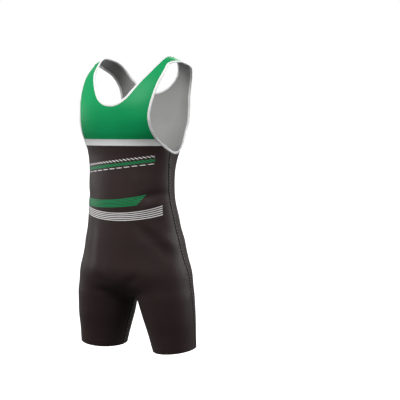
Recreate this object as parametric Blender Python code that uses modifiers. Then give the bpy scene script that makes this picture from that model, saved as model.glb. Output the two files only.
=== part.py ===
"""Rowing suit: a sleeveless one-piece of stretch knit with short legs, hollow, as it is worn.

Metres, +Z up. The suit faces -Y, and +X is its own left. The origin lies midway between
the two shoulder straps at shoulder height, where a wearer's shoulders hold it up.

The cloth lies on one general figure: a torso of rounded sections, closed softly at the
shoulders and between the legs, joined smoothly to two tapering legs. Each panel is a thin
wall whose outer points lie on that figure, cut at its seams, with a narrow gap to the
next panel. The bindings are made from the panels' own edge points.
"""

import math

import bpy
import numpy as np

# Cloth and seams.
WALL = 0.0016
SEAM_GAP = 0.0003
BINDING_WIDTH = 0.006

# Heights of the straight seams.
FRONT_BAND_TOP = -0.229
FRONT_BAND_BOTTOM = -0.247
BACK_BAND_TOP = -0.185
BACK_BAND_BOTTOM = -0.203

# The hem's plane at each leg: its height at the leg's centre, and how it rises outwards and backwards.
HEM_HEIGHT = -0.826
HEM_RISE_OUT = 0.10
HEM_RISE_BACK = 0.06

# Sections of the torso. Front and back are how far the centre lines lie from y = 0,
# widest_y is where the section is widest, and a fullness of 2 is an ellipse.
TORSO_COLUMNS = ("height", "half_width", "widest_y", "front", "back", "front_fullness", "back_fullness")
TORSO = (
    (-0.660, 0.172, -0.008, 0.114, 0.100, 2.20, 2.20),
    (-0.600, 0.159, -0.009, 0.113, 0.097, 2.15, 2.15),
    (-0.550, 0.150, -0.009, 0.111, 0.095, 2.10, 2.10),
    (-0.500, 0.147, -0.010, 0.110, 0.088, 2.10, 2.10),
    (-0.450, 0.140, -0.014, 0.109, 0.076, 2.10, 2.10),
    (-0.400, 0.133, -0.022, 0.111, 0.063, 2.10, 2.10),
    (-0.350, 0.131, -0.025, 0.109, 0.066, 2.10, 2.10),
    (-0.310, 0.131, -0.025, 0.107, 0.074, 2.05, 2.20),
    (-0.270, 0.134, -0.025, 0.108, 0.082, 2.10, 2.70),
    (-0.240, 0.138, -0.023, 0.113, 0.090, 2.40, 3.30),
    (-0.210, 0.147, -0.020, 0.124, 0.098, 2.80, 3.60),
    (-0.180, 0.158, -0.017, 0.131, 0.106, 2.85, 4.20),
    (-0.140, 0.169, -0.011, 0.133, 0.111, 2.60, 4.60),
    (-0.090, 0.180, -0.001, 0.130, 0.112, 3.00, 4.60),
    (-0.030, 0.188, 0.013, 0.129, 0.111, 4.20, 4.40),
)

# Where the torso begins to close, at the shoulders (front and back) and between the legs.
SHOULDER_BASE_FRONT = -0.150
SHOULDER_BASE_BACK = -0.105
SHOULDER_ROUND_FRONT = 1.5
SHOULDER_ROUND_BACK = 2.3
SHOULDER_TURN = 0.06
SHOULDER_TOP = 0.001
SHOULDER_MIDDLE_X = 0.120
SHOULDER_SLOPE = 0.30
CROTCH_BASE = -0.585
CROTCH_DEPTH = 0.085
CROTCH_ROUND = 2.2
START_SOFTNESS = 0.010

# Sections of a leg: ellipses turned so that the long axis points outwards and forwards.
LEG_COLUMNS = ("height", "centre_x", "centre_y", "long_half", "short_half")
LEG = (
    (-0.86, 0.124, 0.014, 0.066, 0.060),
    (-0.82, 0.118, 0.011, 0.070, 0.064),
    (-0.78, 0.112, 0.009, 0.076, 0.069),
    (-0.74, 0.106, 0.006, 0.083, 0.075),
    (-0.70, 0.100, 0.003, 0.087, 0.080),
    (-0.66, 0.094, 0.000, 0.0895, 0.084),
    (-0.62, 0.087, 0.000, 0.0865, 0.083),
    (-0.56, 0.074, -0.004, 0.078, 0.078),
    (-0.50, 0.062, -0.006, 0.072, 0.072),
)
LEG_TURN = math.radians(-45.0)
LEG_TOP = -0.52
LEG_TOP_ROUND = 0.05
JOIN_SOFTNESS = 0.035

# About the radius of the torso and of a leg, which brings both fields to metres.
TORSO_RADIUS = 0.12
LEG_RADIUS = 0.08

# The line inside the body that the panels are measured from moves out into the legs here.
CENTRE_SPLIT_TOP = -0.47
CENTRE_SPLIT_BOTTOM = -0.62

# The side seam's direction from the centre line, in degrees from straight ahead.
SIDE_SEAM_COLUMNS = ("height", "turn")
SIDE_SEAM = ((-0.84, 96.0), (-0.70, 92.0), (-0.58, 88.0), (-0.40, 85.0), (-0.276, 85.0))

# The finished edge of an armhole, from the shoulder forwards and round: the direction in degrees
# from straight ahead, seen from a line inside the chest, and the height.
ARMHOLE_COLUMNS = ("turn", "height")
ARMHOLE = (
    (93.0, -0.0150),
    (84.0, -0.0200),
    (73.5, -0.0400),
    (60.5, -0.0770),
    (54.4, -0.1060),
    (50.2, -0.1360),
    (48.2, -0.1660),
    (50.2, -0.1940),
    (57.8, -0.2240),
    (68.0, -0.2430),
    (80.0, -0.2580),
    (93.0, -0.2640),
    (106.0, -0.2580),
    (118.0, -0.2370),
    (126.0, -0.2080),
    (131.5, -0.1720),
    (134.0, -0.1350),
    (134.5, -0.1020),
    (131.5, -0.0680),
    (124.0, -0.0390),
    (110.0, -0.0205),
)
ARMHOLE_LINE_Y = -0.01

# The finished edge of the neckline: how far it has turned over the shoulder, in degrees from
# straight ahead about the shoulder line, and how far it lies from the middle.
NECKLINE_COLUMNS = ("turn", "x")
NECKLINE = (
    (3.9, 0.000),
    (6.5, 0.022),
    (14.0, 0.040),
    (28.0, 0.056),
    (45.0, 0.0705),
    (63.0, 0.085),
    (82.0, 0.095),
    (98.0, 0.102),
    (114.0, 0.103),
    (131.6, 0.092),
    (144.2, 0.0775),
    (151.8, 0.058),
    (158.5, 0.030),
    (161.0, 0.000),
)
SHOULDER_LINE_Y = -0.03
SHOULDER_LINE_HEIGHT = -0.14
SHOULDER_SEAM_Y = 0.006
METRES_PER_DEGREE = 0.0022

# The binding's section: distance from the seam into the opening, and height above the cloth.
BINDING_SECTION_COLUMNS = ("away", "proud")
BINDING_SECTION = (
    (0.0, 0.00035),
    (0.0017, 0.0007),
    (0.0043, 0.0007),
    (0.0057, 0.0001),
    (0.0057, -0.0017),
    (0.0043, -0.0023),
    (0.0017, -0.0023),
    (0.0, -0.00195),
)

# For the front and the back: the sign of y, the direction of the centre line and of the inseam
# in degrees from straight ahead, and the heights of the band.
FORWARD = {"front": -1.0, "back": 1.0}
CENTRE_TURN = {"front": 0.0, "back": 180.0}
INSEAM_TURN = {"front": -90.0, "back": 270.0}
BAND_TOP = {"front": FRONT_BAND_TOP, "back": BACK_BAND_TOP}
BAND_BOTTOM = {"front": FRONT_BAND_BOTTOM, "back": BACK_BAND_BOTTOM}

# The crotch: how far each way its lowest point is looked for, and how much higher its last row
# lies at the side seam. The inseam reaches its own direction in this share of the leg.
CROTCH_SEARCH = 0.05
CROTCH_SIDE_LIFT = 0.004
INSEAM_SETTLES = 0.5

# How finely the panels are divided.
BODY_COLUMNS = 12
BODY_CORNER_COLUMN = {"front": 9, "back": 8}
TORSO_ROWS = 18
CROTCH_ROWS = 6
LEG_ROWS = 8
COMMON_ROW_HEIGHT = -0.340
ROWS_ABOVE_COMMON = 5
YOKE_COLUMNS = 7
YOKE_CENTRE_ROWS = 4
YOKE_NECK_ROWS = 13
BAND_ROWS = 2
CURVE_SAMPLES = 720

# Looks of the plain solids: red, green, blue, roughness.
FINISHES = {
    "yoke_green": (0.030, 0.340, 0.115, 0.45),
    "body_black": (0.022, 0.020, 0.021, 0.50),
    "band_white": (0.780, 0.785, 0.790, 0.60),
    "binding_white": (0.740, 0.745, 0.755, 0.60),
}

# Steps of the searches, and lengths that are too small to matter.
ITERATIONS = 40
SETTLE_PASSES = 4
HEM_PASSES = 6
LONGEST_RAY = 0.30
PROBE = 0.0005
ON_MIDDLE_PLANE = 1e-7
LAP = 3
SHARP_ANGLE = math.radians(50.0)
MIRROR_MERGE = 0.0001


def column(rows, names, name):
    """One named column of a table, as an array."""
    return np.array([row[names.index(name)] for row in rows])


def smooth(knots, values, x):
    """Value at x on a smooth curve through (knots, values), level beyond its ends."""
    x = np.clip(x, knots[0], knots[-1])
    slopes = np.gradient(values, knots)
    i = np.clip(np.searchsorted(knots, x) - 1, 0, len(knots) - 2)
    step = knots[i + 1] - knots[i]
    t = (x - knots[i]) / step
    start = (1 + 2 * t) * (1 - t) ** 2 * values[i] + t * (1 - t) ** 2 * step * slopes[i]
    end = t * t * (3 - 2 * t) * values[i + 1] + t * t * (t - 1) * step * slopes[i + 1]
    return start + end


def ease(t):
    """From 0 to 1 with level ends."""
    t = np.clip(t, 0.0, 1.0)
    return t * t * (3 - 2 * t)


def torso_value(name, z):
    """A column of the torso's table at given heights."""
    heights = column(TORSO, TORSO_COLUMNS, "height")
    return smooth(heights, column(TORSO, TORSO_COLUMNS, name), z)


def leg_value(name, z):
    """A column of the leg's table at given heights."""
    heights = column(LEG, LEG_COLUMNS, "height")
    return smooth(heights, column(LEG, LEG_COLUMNS, name), z)


def softly_above(height):
    """Heights above zero, with a rounded start."""
    return np.maximum((height + np.sqrt(height**2 + START_SOFTNESS**2)) / 2 - START_SOFTNESS / 8, 0)


def torso_field(x, y, z):
    """Below zero inside the torso: rounded sections, closed at the shoulders and the crotch."""
    widest = torso_value("widest_y", z)
    ahead = y < widest
    depth = np.where(ahead, torso_value("front", z) + widest, torso_value("back", z) - widest)
    wide = np.abs(x) / torso_value("half_width", z)
    deep = np.abs(y - widest) / depth
    share = ease((y - widest + SHOULDER_TURN) / (2 * SHOULDER_TURN))
    fullness = (1 - share) * torso_value("front_fullness", z) + share * torso_value("back_fullness", z)
    base = SHOULDER_BASE_FRONT + share * (SHOULDER_BASE_BACK - SHOULDER_BASE_FRONT)
    roundness = SHOULDER_ROUND_FRONT + share * (SHOULDER_ROUND_BACK - SHOULDER_ROUND_FRONT)
    top = SHOULDER_TOP + SHOULDER_SLOPE * (SHOULDER_MIDDLE_X - np.abs(x))
    up = softly_above(z - base) / (top - base)
    down = softly_above(CROTCH_BASE - z) / CROTCH_DEPTH
    arch = (deep**roundness + up**roundness) ** (1 / roundness)
    closed_up = (wide**fullness + arch**fullness) ** (1 / fullness)
    section = (wide**fullness + deep**fullness) ** (1 / fullness)
    closed_down = (section**CROTCH_ROUND + down**CROTCH_ROUND) ** (1 / CROTCH_ROUND)
    return (np.where(z > CROTCH_BASE, closed_up, closed_down) - 1) * TORSO_RADIUS


def leg_field(x, y, z):
    """Below zero inside the left leg: turned ellipses round a slanting line."""
    across = x - leg_value("centre_x", z)
    along = y - leg_value("centre_y", z)
    long_way = (across * math.cos(LEG_TURN) + along * math.sin(LEG_TURN)) / leg_value("long_half", z)
    short_way = (along * math.cos(LEG_TURN) - across * math.sin(LEG_TURN)) / leg_value("short_half", z)
    up = np.maximum(z - LEG_TOP, 0) / LEG_TOP_ROUND
    return (np.sqrt(long_way**2 + short_way**2 + up**2) - 1) * LEG_RADIUS


def joined(first, second):
    """The smaller of two fields, rounded where they are nearly equal."""
    near = np.maximum(JOIN_SOFTNESS - np.abs(first - second), 0) / JOIN_SOFTNESS
    return np.minimum(first, second) - near**2 * JOIN_SOFTNESS / 4


def figure(points):
    """The field of the whole figure, below zero inside."""
    x, y, z = points[..., 0], points[..., 1], points[..., 2]
    legs = joined(leg_field(x, y, z), leg_field(-x, y, z))
    return joined(torso_field(x, y, z), legs)


def slope_of_figure(points):
    """The field's gradient, by central differences."""
    parts = []
    for axis in range(3):
        step = np.zeros(3)
        step[axis] = PROBE
        parts.append((figure(points + step) - figure(points - step)) / (2 * PROBE))
    return np.stack(parts, axis=-1)


def outward(points):
    """Unit normals of the figure, kept in the plane x = 0 for points on it."""
    normals = slope_of_figure(points)
    normals[..., 0] = np.where(np.abs(points[..., 0]) < ON_MIDDLE_PLANE, 0.0, normals[..., 0])
    return normals / np.linalg.norm(normals, axis=-1, keepdims=True)


def hit(origins, directions):
    """Where rays from inside the figure leave it, by halving the span, on the left side of x = 0."""
    near = np.zeros(origins.shape[:-1])
    inwards = np.maximum(-directions[..., 0], ON_MIDDLE_PLANE)
    to_plane = np.minimum(LONGEST_RAY, origins[..., 0] / inwards)
    far = np.where(directions[..., 0] < -ON_MIDDLE_PLANE, to_plane, LONGEST_RAY)
    for _ in range(ITERATIONS):
        middle = (near + far) / 2
        inside = figure(origins + middle[..., None] * directions) < 0
        near = np.where(inside, middle, near)
        far = np.where(inside, far, middle)
    return origins + near[..., None] * directions


def settle(points):
    """Moves points that lie near the figure's surface onto it."""
    for _ in range(SETTLE_PASSES):
        slope = slope_of_figure(points)
        step = figure(points) / np.sum(slope**2, axis=-1)
        points = points - step[..., None] * slope
    return points


def flat_turn(degrees):
    """Level directions, from straight ahead (-Y) through the left side (+X) to the back."""
    angle = np.radians(degrees)
    return np.stack([np.sin(angle), -np.cos(angle), np.zeros_like(angle)], axis=-1)


def centre_line(z):
    """Points inside the body: on the middle plane in the torso, in the leg's middle below."""
    share = ease((CENTRE_SPLIT_TOP - z) / (CENTRE_SPLIT_TOP - CENTRE_SPLIT_BOTTOM))
    x = share * leg_value("centre_x", z)
    y = (1 - share) * torso_value("widest_y", z) + share * leg_value("centre_y", z)
    return np.stack([x, y, z], axis=-1)


def turn_to(points):
    """Direction in degrees of each point from the centre line at its height."""
    offset = points - centre_line(points[..., 2])
    return np.degrees(np.arctan2(offset[..., 0], -offset[..., 1]))


def closed_curve(points, count):
    """A smooth closed curve through points, as evenly spaced samples."""
    around = np.vstack([points[-LAP:], points, points[:LAP + 1]])
    lengths = np.concatenate([[0.0], np.cumsum(np.linalg.norm(np.diff(around, axis=0), axis=1))])
    samples = np.linspace(lengths[LAP], lengths[LAP + len(points)], count, endpoint=False)
    return np.stack([smooth(lengths, around[:, k], samples) for k in range(points.shape[1])], axis=-1)


def spaced(curve, count):
    """Evenly spaced points along a curve of samples, both ends kept."""
    lengths = np.concatenate([[0.0], np.cumsum(np.linalg.norm(np.diff(curve, axis=0), axis=1))])
    wanted = np.linspace(0.0, lengths[-1], count)
    return np.stack([np.interp(wanted, lengths, curve[:, k]) for k in range(3)], axis=-1)


def move_into_cloth(edge, distance):
    """A closed finished edge moved into the cloth along the surface."""
    tangent = np.roll(edge, -1, axis=0) - np.roll(edge, 1, axis=0)
    tangent /= np.linalg.norm(tangent, axis=1, keepdims=True)
    return settle(edge + distance * np.cross(outward(edge), tangent))


def armhole_seam():
    """The left armhole's seam: drawn round the chest, cast outwards, moved in by the binding."""
    turn = column(ARMHOLE, ARMHOLE_COLUMNS, "turn")
    z = column(ARMHOLE, ARMHOLE_COLUMNS, "height")
    loop = closed_curve(np.stack([turn * METRES_PER_DEGREE, z], axis=-1), CURVE_SAMPLES)
    origins = np.stack([np.zeros(CURVE_SAMPLES), np.full(CURVE_SAMPLES, ARMHOLE_LINE_Y), loop[:, 1]], axis=-1)
    edge = hit(origins, flat_turn(loop[:, 0] / METRES_PER_DEGREE))
    return move_into_cloth(edge, -BINDING_WIDTH)


def over_shoulder(turn, x):
    """Points of the figure met from the shoulder line, turning from ahead over the top."""
    angle = np.radians(turn)
    origins = np.stack([x, np.full_like(x, SHOULDER_LINE_Y), np.full_like(x, SHOULDER_LINE_HEIGHT)], axis=-1)
    directions = np.stack([np.zeros_like(x), -np.cos(angle), np.sin(angle)], axis=-1)
    return hit(origins, directions)


def neck_seam():
    """The neckline's seam, all round, starting and ending at the front centre."""
    turn = column(NECKLINE, NECKLINE_COLUMNS, "turn")
    x = column(NECKLINE, NECKLINE_COLUMNS, "x")
    left = np.stack([turn * METRES_PER_DEGREE, x], axis=-1)
    right = (left * [1.0, -1.0])[-2:0:-1]
    loop = closed_curve(np.vstack([left, right]), CURVE_SAMPLES)
    edge = over_shoulder(loop[:, 0] / METRES_PER_DEGREE, loop[:, 1])
    return move_into_cloth(edge, -BINDING_WIDTH)


def side_seam_turn(z):
    """The side seam's direction from the centre line at given heights."""
    heights = column(SIDE_SEAM, SIDE_SEAM_COLUMNS, "height")
    return smooth(heights, column(SIDE_SEAM, SIDE_SEAM_COLUMNS, "turn"), z)


def shoulder_index(curve):
    """Which point of a curve lies at the shoulder seam, above the arm."""
    off = np.abs(curve[:, 1] - SHOULDER_SEAM_Y)
    return int(np.argmin(np.where(curve[:, 2] > SHOULDER_LINE_HEIGHT, off, np.inf)))


def split_armhole(seam):
    """The seam from the side seam up to the shoulder, on the front and on the back."""
    off = np.abs(turn_to(seam) - side_seam_turn(seam[:, 2]))
    under_arm = int(np.argmin(np.where(seam[:, 2] < SHOULDER_LINE_HEIGHT, off, np.inf)))
    seam = np.roll(seam, -under_arm, axis=0)
    top = shoulder_index(seam)
    back = seam[: top + 1]
    front = np.vstack([seam[top:], seam[:1]])[::-1]
    return {"front": front, "back": back}


def split_neck(seam):
    """The left half of the neck seam from each centre up to the shoulder."""
    half = seam[seam[:, 0] > 0]
    half = half[np.argsort(np.arctan2(half[:, 2] - SHOULDER_LINE_HEIGHT, SHOULDER_LINE_Y - half[:, 1]))]
    front_centre, back_centre = half[0].copy(), half[-1].copy()
    front_centre[0] = 0.0
    back_centre[0] = 0.0
    half = np.vstack([settle(front_centre[None]), half, settle(back_centre[None])])
    half[[0, -1], 0] = 0.0
    top = shoulder_index(half)
    return {"front": half[: top + 1], "back": half[top:][::-1]}


def at_height(curve, z):
    """The point where a rising curve reaches a height."""
    order = np.argsort(curve[:, 2])
    return np.array([np.interp(z, curve[order, 2], curve[order, k]) for k in range(2)] + [z])


def above(curve, z):
    """A rising curve from a height on."""
    return np.vstack([at_height(curve, z)[None], curve[curve[:, 2] > z + PROBE]])


def panel_grid(z, turns):
    """Points of the figure at given heights and directions from the centre line."""
    return hit(centre_line(z), flat_turn(turns))


def side_turn(z, side):
    """The side seam's direction, moved half a seam gap towards one panel."""
    turn = side_seam_turn(z)
    radius = np.linalg.norm(panel_grid(z, turn) - centre_line(z), axis=-1)
    gap = np.degrees(SEAM_GAP / 2 / radius)
    return turn - gap if side == "front" else turn + gap


def crotch_point():
    """The lowest point of the figure's middle plane, between the legs."""
    y = np.linspace(-CROTCH_SEARCH, CROTCH_SEARCH, CURVE_SAMPLES)
    origins = np.stack([np.zeros_like(y), y, np.full_like(y, CROTCH_BASE)], axis=-1)
    under = hit(origins, np.broadcast_to([0.0, 0.0, -1.0], origins.shape))
    return under[int(np.argmin(under[:, 2]))]


def yoke(side, neck, armhole):
    """Half a yoke: rows from the centre line and the neckline out to the armhole."""
    forward = FORWARD[side]
    bottom = BAND_TOP[side] + SEAM_GAP / 2
    centre_z = np.linspace(bottom, neck[0, 2], YOKE_CENTRE_ROWS + 1)[:-1]
    origins = np.stack([np.zeros_like(centre_z), np.full_like(centre_z, SHOULDER_LINE_Y), centre_z], axis=-1)
    centre = hit(origins, np.broadcast_to([0.0, forward, 0.0], origins.shape))
    inner = np.vstack([centre, spaced(neck, YOKE_NECK_ROWS + 1)])
    outer = spaced(above(armhole, bottom), len(inner))
    share = np.linspace(0.0, 1.0, YOKE_COLUMNS + 1)[None, :, None]
    chord = inner[:, None] * (1 - share) + outer[:, None] * share
    origins = chord.copy()
    origins[..., 1] = SHOULDER_LINE_Y
    origins[..., 2] = np.minimum(chord[..., 2], SHOULDER_LINE_HEIGHT)
    directions = chord - origins
    directions /= np.linalg.norm(directions, axis=-1, keepdims=True)
    grid = hit(origins, directions)
    top = grid[-1].copy()
    top[:, 1] = SHOULDER_SEAM_Y + forward * SEAM_GAP / 2
    top[:, 2] = SHOULDER_LINE_HEIGHT
    grid[-1] = hit(top, np.broadcast_to([0.0, 0.0, 1.0], top.shape))
    grid[: YOKE_CENTRE_ROWS + 1, 0, 0] = 0.0
    return grid


def band(side, armhole):
    """Half a level band from the centre line to the armhole."""
    heights = np.linspace(BAND_TOP[side] - SEAM_GAP / 2, BAND_BOTTOM[side] + SEAM_GAP / 2, BAND_ROWS + 1)
    start = CENTRE_TURN[side]
    ends = np.array([turn_to(at_height(armhole, z)) for z in heights])
    share = np.linspace(0.0, 1.0, BODY_CORNER_COLUMN[side] + 1)
    turns = start + (ends[:, None] - start) * share
    grid = panel_grid(np.broadcast_to(heights[:, None], turns.shape), turns)
    grid[:, 0, 0] = 0.0
    return grid


def body_shares(side, armhole, top):
    """A body panel's columns as shares of its width, one of them at the armhole's corner."""
    start = CENTRE_TURN[side]
    corner_turn = turn_to(at_height(armhole, top))
    corner_share = (corner_turn - start) / (side_turn(armhole[0, 2], side) - start)
    corner = BODY_CORNER_COLUMN[side]
    to_corner = np.linspace(0.0, corner_share, corner + 1)
    to_side = np.linspace(corner_share, 1.0, BODY_COLUMNS - corner + 1)
    return np.concatenate([to_corner, to_side[1:]])


def body_top(side, armhole, top, share):
    """Heights of a body panel's upper edge: level below the band, then down along the armhole."""
    start = CENTRE_TURN[side]
    turns = start + (side_turn(armhole[0, 2], side) - start) * share
    under_arm = armhole[armhole[:, 2] < top]
    under_turns = turn_to(under_arm)
    order = np.argsort(under_turns)
    heights = np.interp(turns, under_turns[order], under_arm[order, 2])
    heights[: BODY_CORNER_COLUMN[side] + 1] = top
    return heights


def crotch_line(side, crotch):
    """Points of the middle plane that swing from ahead or behind down to the crotch."""
    swing = np.radians(np.linspace(0.0, 90.0, CROTCH_ROWS + 1)[1:])
    directions = np.stack([np.zeros_like(swing), FORWARD[side] * np.cos(swing), -np.sin(swing)], axis=-1)
    origin = np.array([0.0, crotch[1], CROTCH_BASE])
    line = hit(np.broadcast_to(origin, directions.shape), directions)
    line[-1] = settle(line[-1:] + [0.0, FORWARD[side] * SEAM_GAP / 2, 0.0])[0]
    line[:, 0] = 0.0
    return line


def hem_heights(side, inseam, share):
    """Heights of the hem at a panel's columns, on the hem's sloping plane."""
    middle = centre_line(np.array(HEM_HEIGHT))
    heights = np.full(len(share), HEM_HEIGHT)
    for _ in range(HEM_PASSES):
        turns = inseam + (side_turn(heights[-1:], side) - inseam) * share
        offset = panel_grid(heights, turns) - middle
        heights = HEM_HEIGHT + HEM_RISE_OUT * offset[:, 0] + HEM_RISE_BACK * offset[:, 1]
    return heights


def panel_rows(z, first, side, share):
    """Rows of a body panel at given heights, from their first directions to the side seam."""
    last = side_turn(z[:, -1], side)
    return panel_grid(z, first[:, None] + (last - first)[:, None] * share)


def body(side, armhole):
    """Half a body panel: torso, crotch and leg in one cut, from the band down to the hem."""
    top = BAND_BOTTOM[side] - SEAM_GAP / 2
    share = body_shares(side, armhole, top)
    top_z = body_top(side, armhole, top, share)
    upper = np.linspace(0.0, 1.0, ROWS_ABOVE_COMMON + 1)[:-1, None]
    z_upper = top_z + (COMMON_ROW_HEIGHT - top_z) * upper
    z_level = np.linspace(COMMON_ROW_HEIGHT, CROTCH_BASE, TORSO_ROWS - ROWS_ABOVE_COMMON + 1)
    z_torso = np.vstack([z_upper, np.broadcast_to(z_level[:, None], (len(z_level), BODY_COLUMNS + 1))])

    origins = centre_line(z_torso[:, 0])
    origins[:, 0] = 0.0
    centre = hit(origins, np.broadcast_to([0.0, FORWARD[side], 0.0], origins.shape))
    crotch = crotch_point()
    under = crotch_line(side, crotch)
    side_z = np.linspace(CROTCH_BASE, crotch[2] + CROTCH_SIDE_LIFT, CROTCH_ROWS + 1)[1:, None]
    across = ease(np.linspace(0.0, 1.0, BODY_COLUMNS + 1))
    z_crotch = under[:, 2:] + (side_z - under[:, 2:]) * across

    z = np.vstack([z_torso, z_crotch])
    middle = np.vstack([centre, under])
    first = turn_to(middle)
    if side == "back":
        first = first % 360.0
    trunk = panel_rows(z, first, side, share)
    trunk[:, 0] = middle

    gap = np.degrees(SEAM_GAP / 2 / LEG_RADIUS)
    inseam = INSEAM_TURN[side] - FORWARD[side] * gap
    down = np.linspace(0.0, 1.0, LEG_ROWS + 1)[1:, None]
    z_leg = z[-1] + (hem_heights(side, inseam, share) - z[-1]) * down
    first_leg = first[-1] + (inseam - first[-1]) * ease(down[:, 0] / INSEAM_SETTLES)
    return np.vstack([trunk, panel_rows(z_leg, first_leg, side, share)])


def quads(rows, columns, offset, flipped):
    """Faces of a grid of points, numbered row by row."""
    i, j = np.meshgrid(np.arange(rows - 1), np.arange(columns - 1), indexing="ij")
    a = offset + (i * columns + j).ravel()
    faces = np.stack([a, a + 1, a + columns + 1, a + columns], axis=-1)
    return faces[:, ::-1] if flipped else faces


def rim(edge, inner_offset, flipped):
    """Faces that join a line of outer points to the same line inside."""
    a, b = edge[:-1], edge[1:]
    faces = np.stack([a, a + inner_offset, b + inner_offset, b], axis=-1)
    return faces[:, ::-1] if flipped else faces


def wall(grid):
    """A closed wall: outer points, inner points moved in along the normals, and its rims."""
    rows, columns = grid.shape[:2]
    normals = outward(grid)
    outer = grid.reshape(-1, 3)
    inner = (grid - WALL * normals).reshape(-1, 3)
    count = len(outer)
    span = np.cross(grid[1, 1] - grid[0, 1], grid[0, 2] - grid[0, 1])
    flipped = bool(np.dot(span, normals[0, 1]) < 0)
    index = np.arange(count).reshape(rows, columns)
    faces = [
        quads(rows, columns, 0, not flipped),
        quads(rows, columns, count, flipped),
        rim(index[0], count, not flipped),
        rim(index[-1], count, flipped),
        rim(index[:, -1], count, not flipped),
    ]
    off_plane = grid[:, 0, 0] > PROBE
    for i in range(rows - 1):
        if off_plane[i] or off_plane[i + 1]:
            faces.append(rim(index[i:i + 2, 0], count, flipped))
    return np.vstack([outer, inner]), np.vstack(faces)


def binding(seam, closed):
    """A rounded strip along a line of panel edge points, on the opening's side of them."""
    if closed:
        tangent = np.roll(seam, -1, axis=0) - np.roll(seam, 1, axis=0)
    else:
        tangent = np.gradient(seam, axis=0)
        tangent[[0, -1]] *= [1.0, 0.0, 0.0]
    tangent /= np.linalg.norm(tangent, axis=1, keepdims=True)
    normals = outward(seam)
    away = np.cross(normals, tangent)
    away /= np.linalg.norm(away, axis=1, keepdims=True)
    across = column(BINDING_SECTION, BINDING_SECTION_COLUMNS, "away") + SEAM_GAP
    proud = column(BINDING_SECTION, BINDING_SECTION_COLUMNS, "proud")
    rings = seam[:, None] + across[None, :, None] * away[:, None] + proud[None, :, None] * normals[:, None]
    sides = len(across)
    count = len(seam)
    steps = count if closed else count - 1
    i, k = np.meshgrid(np.arange(steps), np.arange(sides), indexing="ij")
    a = (i * sides + k).ravel()
    b = (((i + 1) % count) * sides + k).ravel()
    c = (((i + 1) % count) * sides + (k + 1) % sides).ravel()
    d = (i * sides + (k + 1) % sides).ravel()
    return rings.reshape(-1, 3), np.stack([a, b, c, d], axis=-1)


def merged_edges(*pieces):
    """Lines of edge points end to end, with one point for each pair that meets at a seam."""
    line = pieces[0]
    for piece in pieces[1:]:
        meeting = settle(((line[-1] + piece[0]) / 2)[None])
        line = np.vstack([line[:-1], meeting, piece[1:]])
    return line


def material(name):
    """A plain material of one finish, made once."""
    if name in bpy.data.materials:
        return bpy.data.materials[name]
    red, green, blue, roughness = FINISHES[name]
    made = bpy.data.materials.new(name)
    made.use_nodes = True
    shader = made.node_tree.nodes["Principled BSDF"]
    shader.inputs["Base Color"].default_value = (red, green, blue, 1.0)
    shader.inputs["Roughness"].default_value = roughness
    made.diffuse_color = (red, green, blue, 1.0)
    return made


def add_piece(name, vertices, faces, finish, collection, mirrored):
    """A named object from points and faces, mirrored about the middle plane if it is a half."""
    mesh = bpy.data.meshes.new(name)
    mesh.from_pydata(vertices.tolist(), [], faces.tolist())
    mesh.materials.append(material(finish))
    mesh.shade_smooth()
    mesh.set_sharp_from_angle(angle=SHARP_ANGLE)
    piece = bpy.data.objects.new(name, mesh)
    collection.objects.link(piece)
    if mirrored:
        mirror = piece.modifiers.new("Mirror", "MIRROR")
        mirror.use_axis = (True, False, False)
        mirror.merge_threshold = MIRROR_MERGE
    return piece


def build():
    """Makes every piece: the panels first, then the bindings from the panels' edge points."""
    for existing in list(bpy.data.objects):
        bpy.data.objects.remove(existing, do_unlink=True)
    collection = bpy.data.collections.new("rowing_suit")
    bpy.context.scene.collection.children.link(collection)

    armholes = split_armhole(armhole_seam())
    necks = split_neck(neck_seam())
    grids = {}
    for side in ("front", "back"):
        grids[side + "_yoke"] = yoke(side, necks[side], armholes[side])
        grids[side + "_band"] = band(side, armholes[side])
        grids[side + "_body"] = body(side, armholes[side])
    finishes = {"yoke": "yoke_green", "band": "band_white", "body": "body_black"}
    for name, grid in grids.items():
        vertices, faces = wall(grid)
        add_piece(name, vertices, faces, finishes[name.split("_")[1]], collection, True)

    neck_line = merged_edges(
        grids["front_yoke"][YOKE_CENTRE_ROWS:, 0],
        grids["back_yoke"][YOKE_CENTRE_ROWS:, 0][::-1],
    )
    vertices, faces = binding(neck_line, False)
    add_piece("neck_binding", vertices, faces, "binding_white", collection, True)

    corner_front, corner_back = BODY_CORNER_COLUMN["front"], BODY_CORNER_COLUMN["back"]
    arm_line = merged_edges(
        grids["front_yoke"][:, -1][::-1],
        grids["front_band"][:, -1],
        grids["front_body"][0, corner_front:],
        grids["back_body"][0, corner_back:][::-1],
        grids["back_band"][:, -1][::-1],
        grids["back_yoke"][:, -1],
    )
    meeting = settle(((arm_line[0] + arm_line[-1]) / 2)[None])
    arm_line = np.vstack([meeting, arm_line[1:-1]])
    vertices, faces = binding(arm_line, True)
    add_piece("armhole_binding_left", vertices, faces, "binding_white", collection, False)
    add_piece("armhole_binding_right", vertices * [-1.0, 1.0, 1.0], faces[:, ::-1], "binding_white",
              collection, False)


build()
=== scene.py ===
"""Rowing suit, filled out as it is worn: knitted panels, folded bindings, seams and stitches.

Metres, +Z up. The suit faces -Y, +X is its own left, and the origin lies between the straps.

Every panel lies on one general figure: a torso of rounded sections, closed softly at the
shoulders and between the legs, joined smoothly to two tapering legs. Soft folds are laid on
it. Each panel is a thin shell with its own colour outside and pale cloth inside, and
seams, bindings and stitches are made from the panels' own edge points, moved out.
"""

import math

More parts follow.
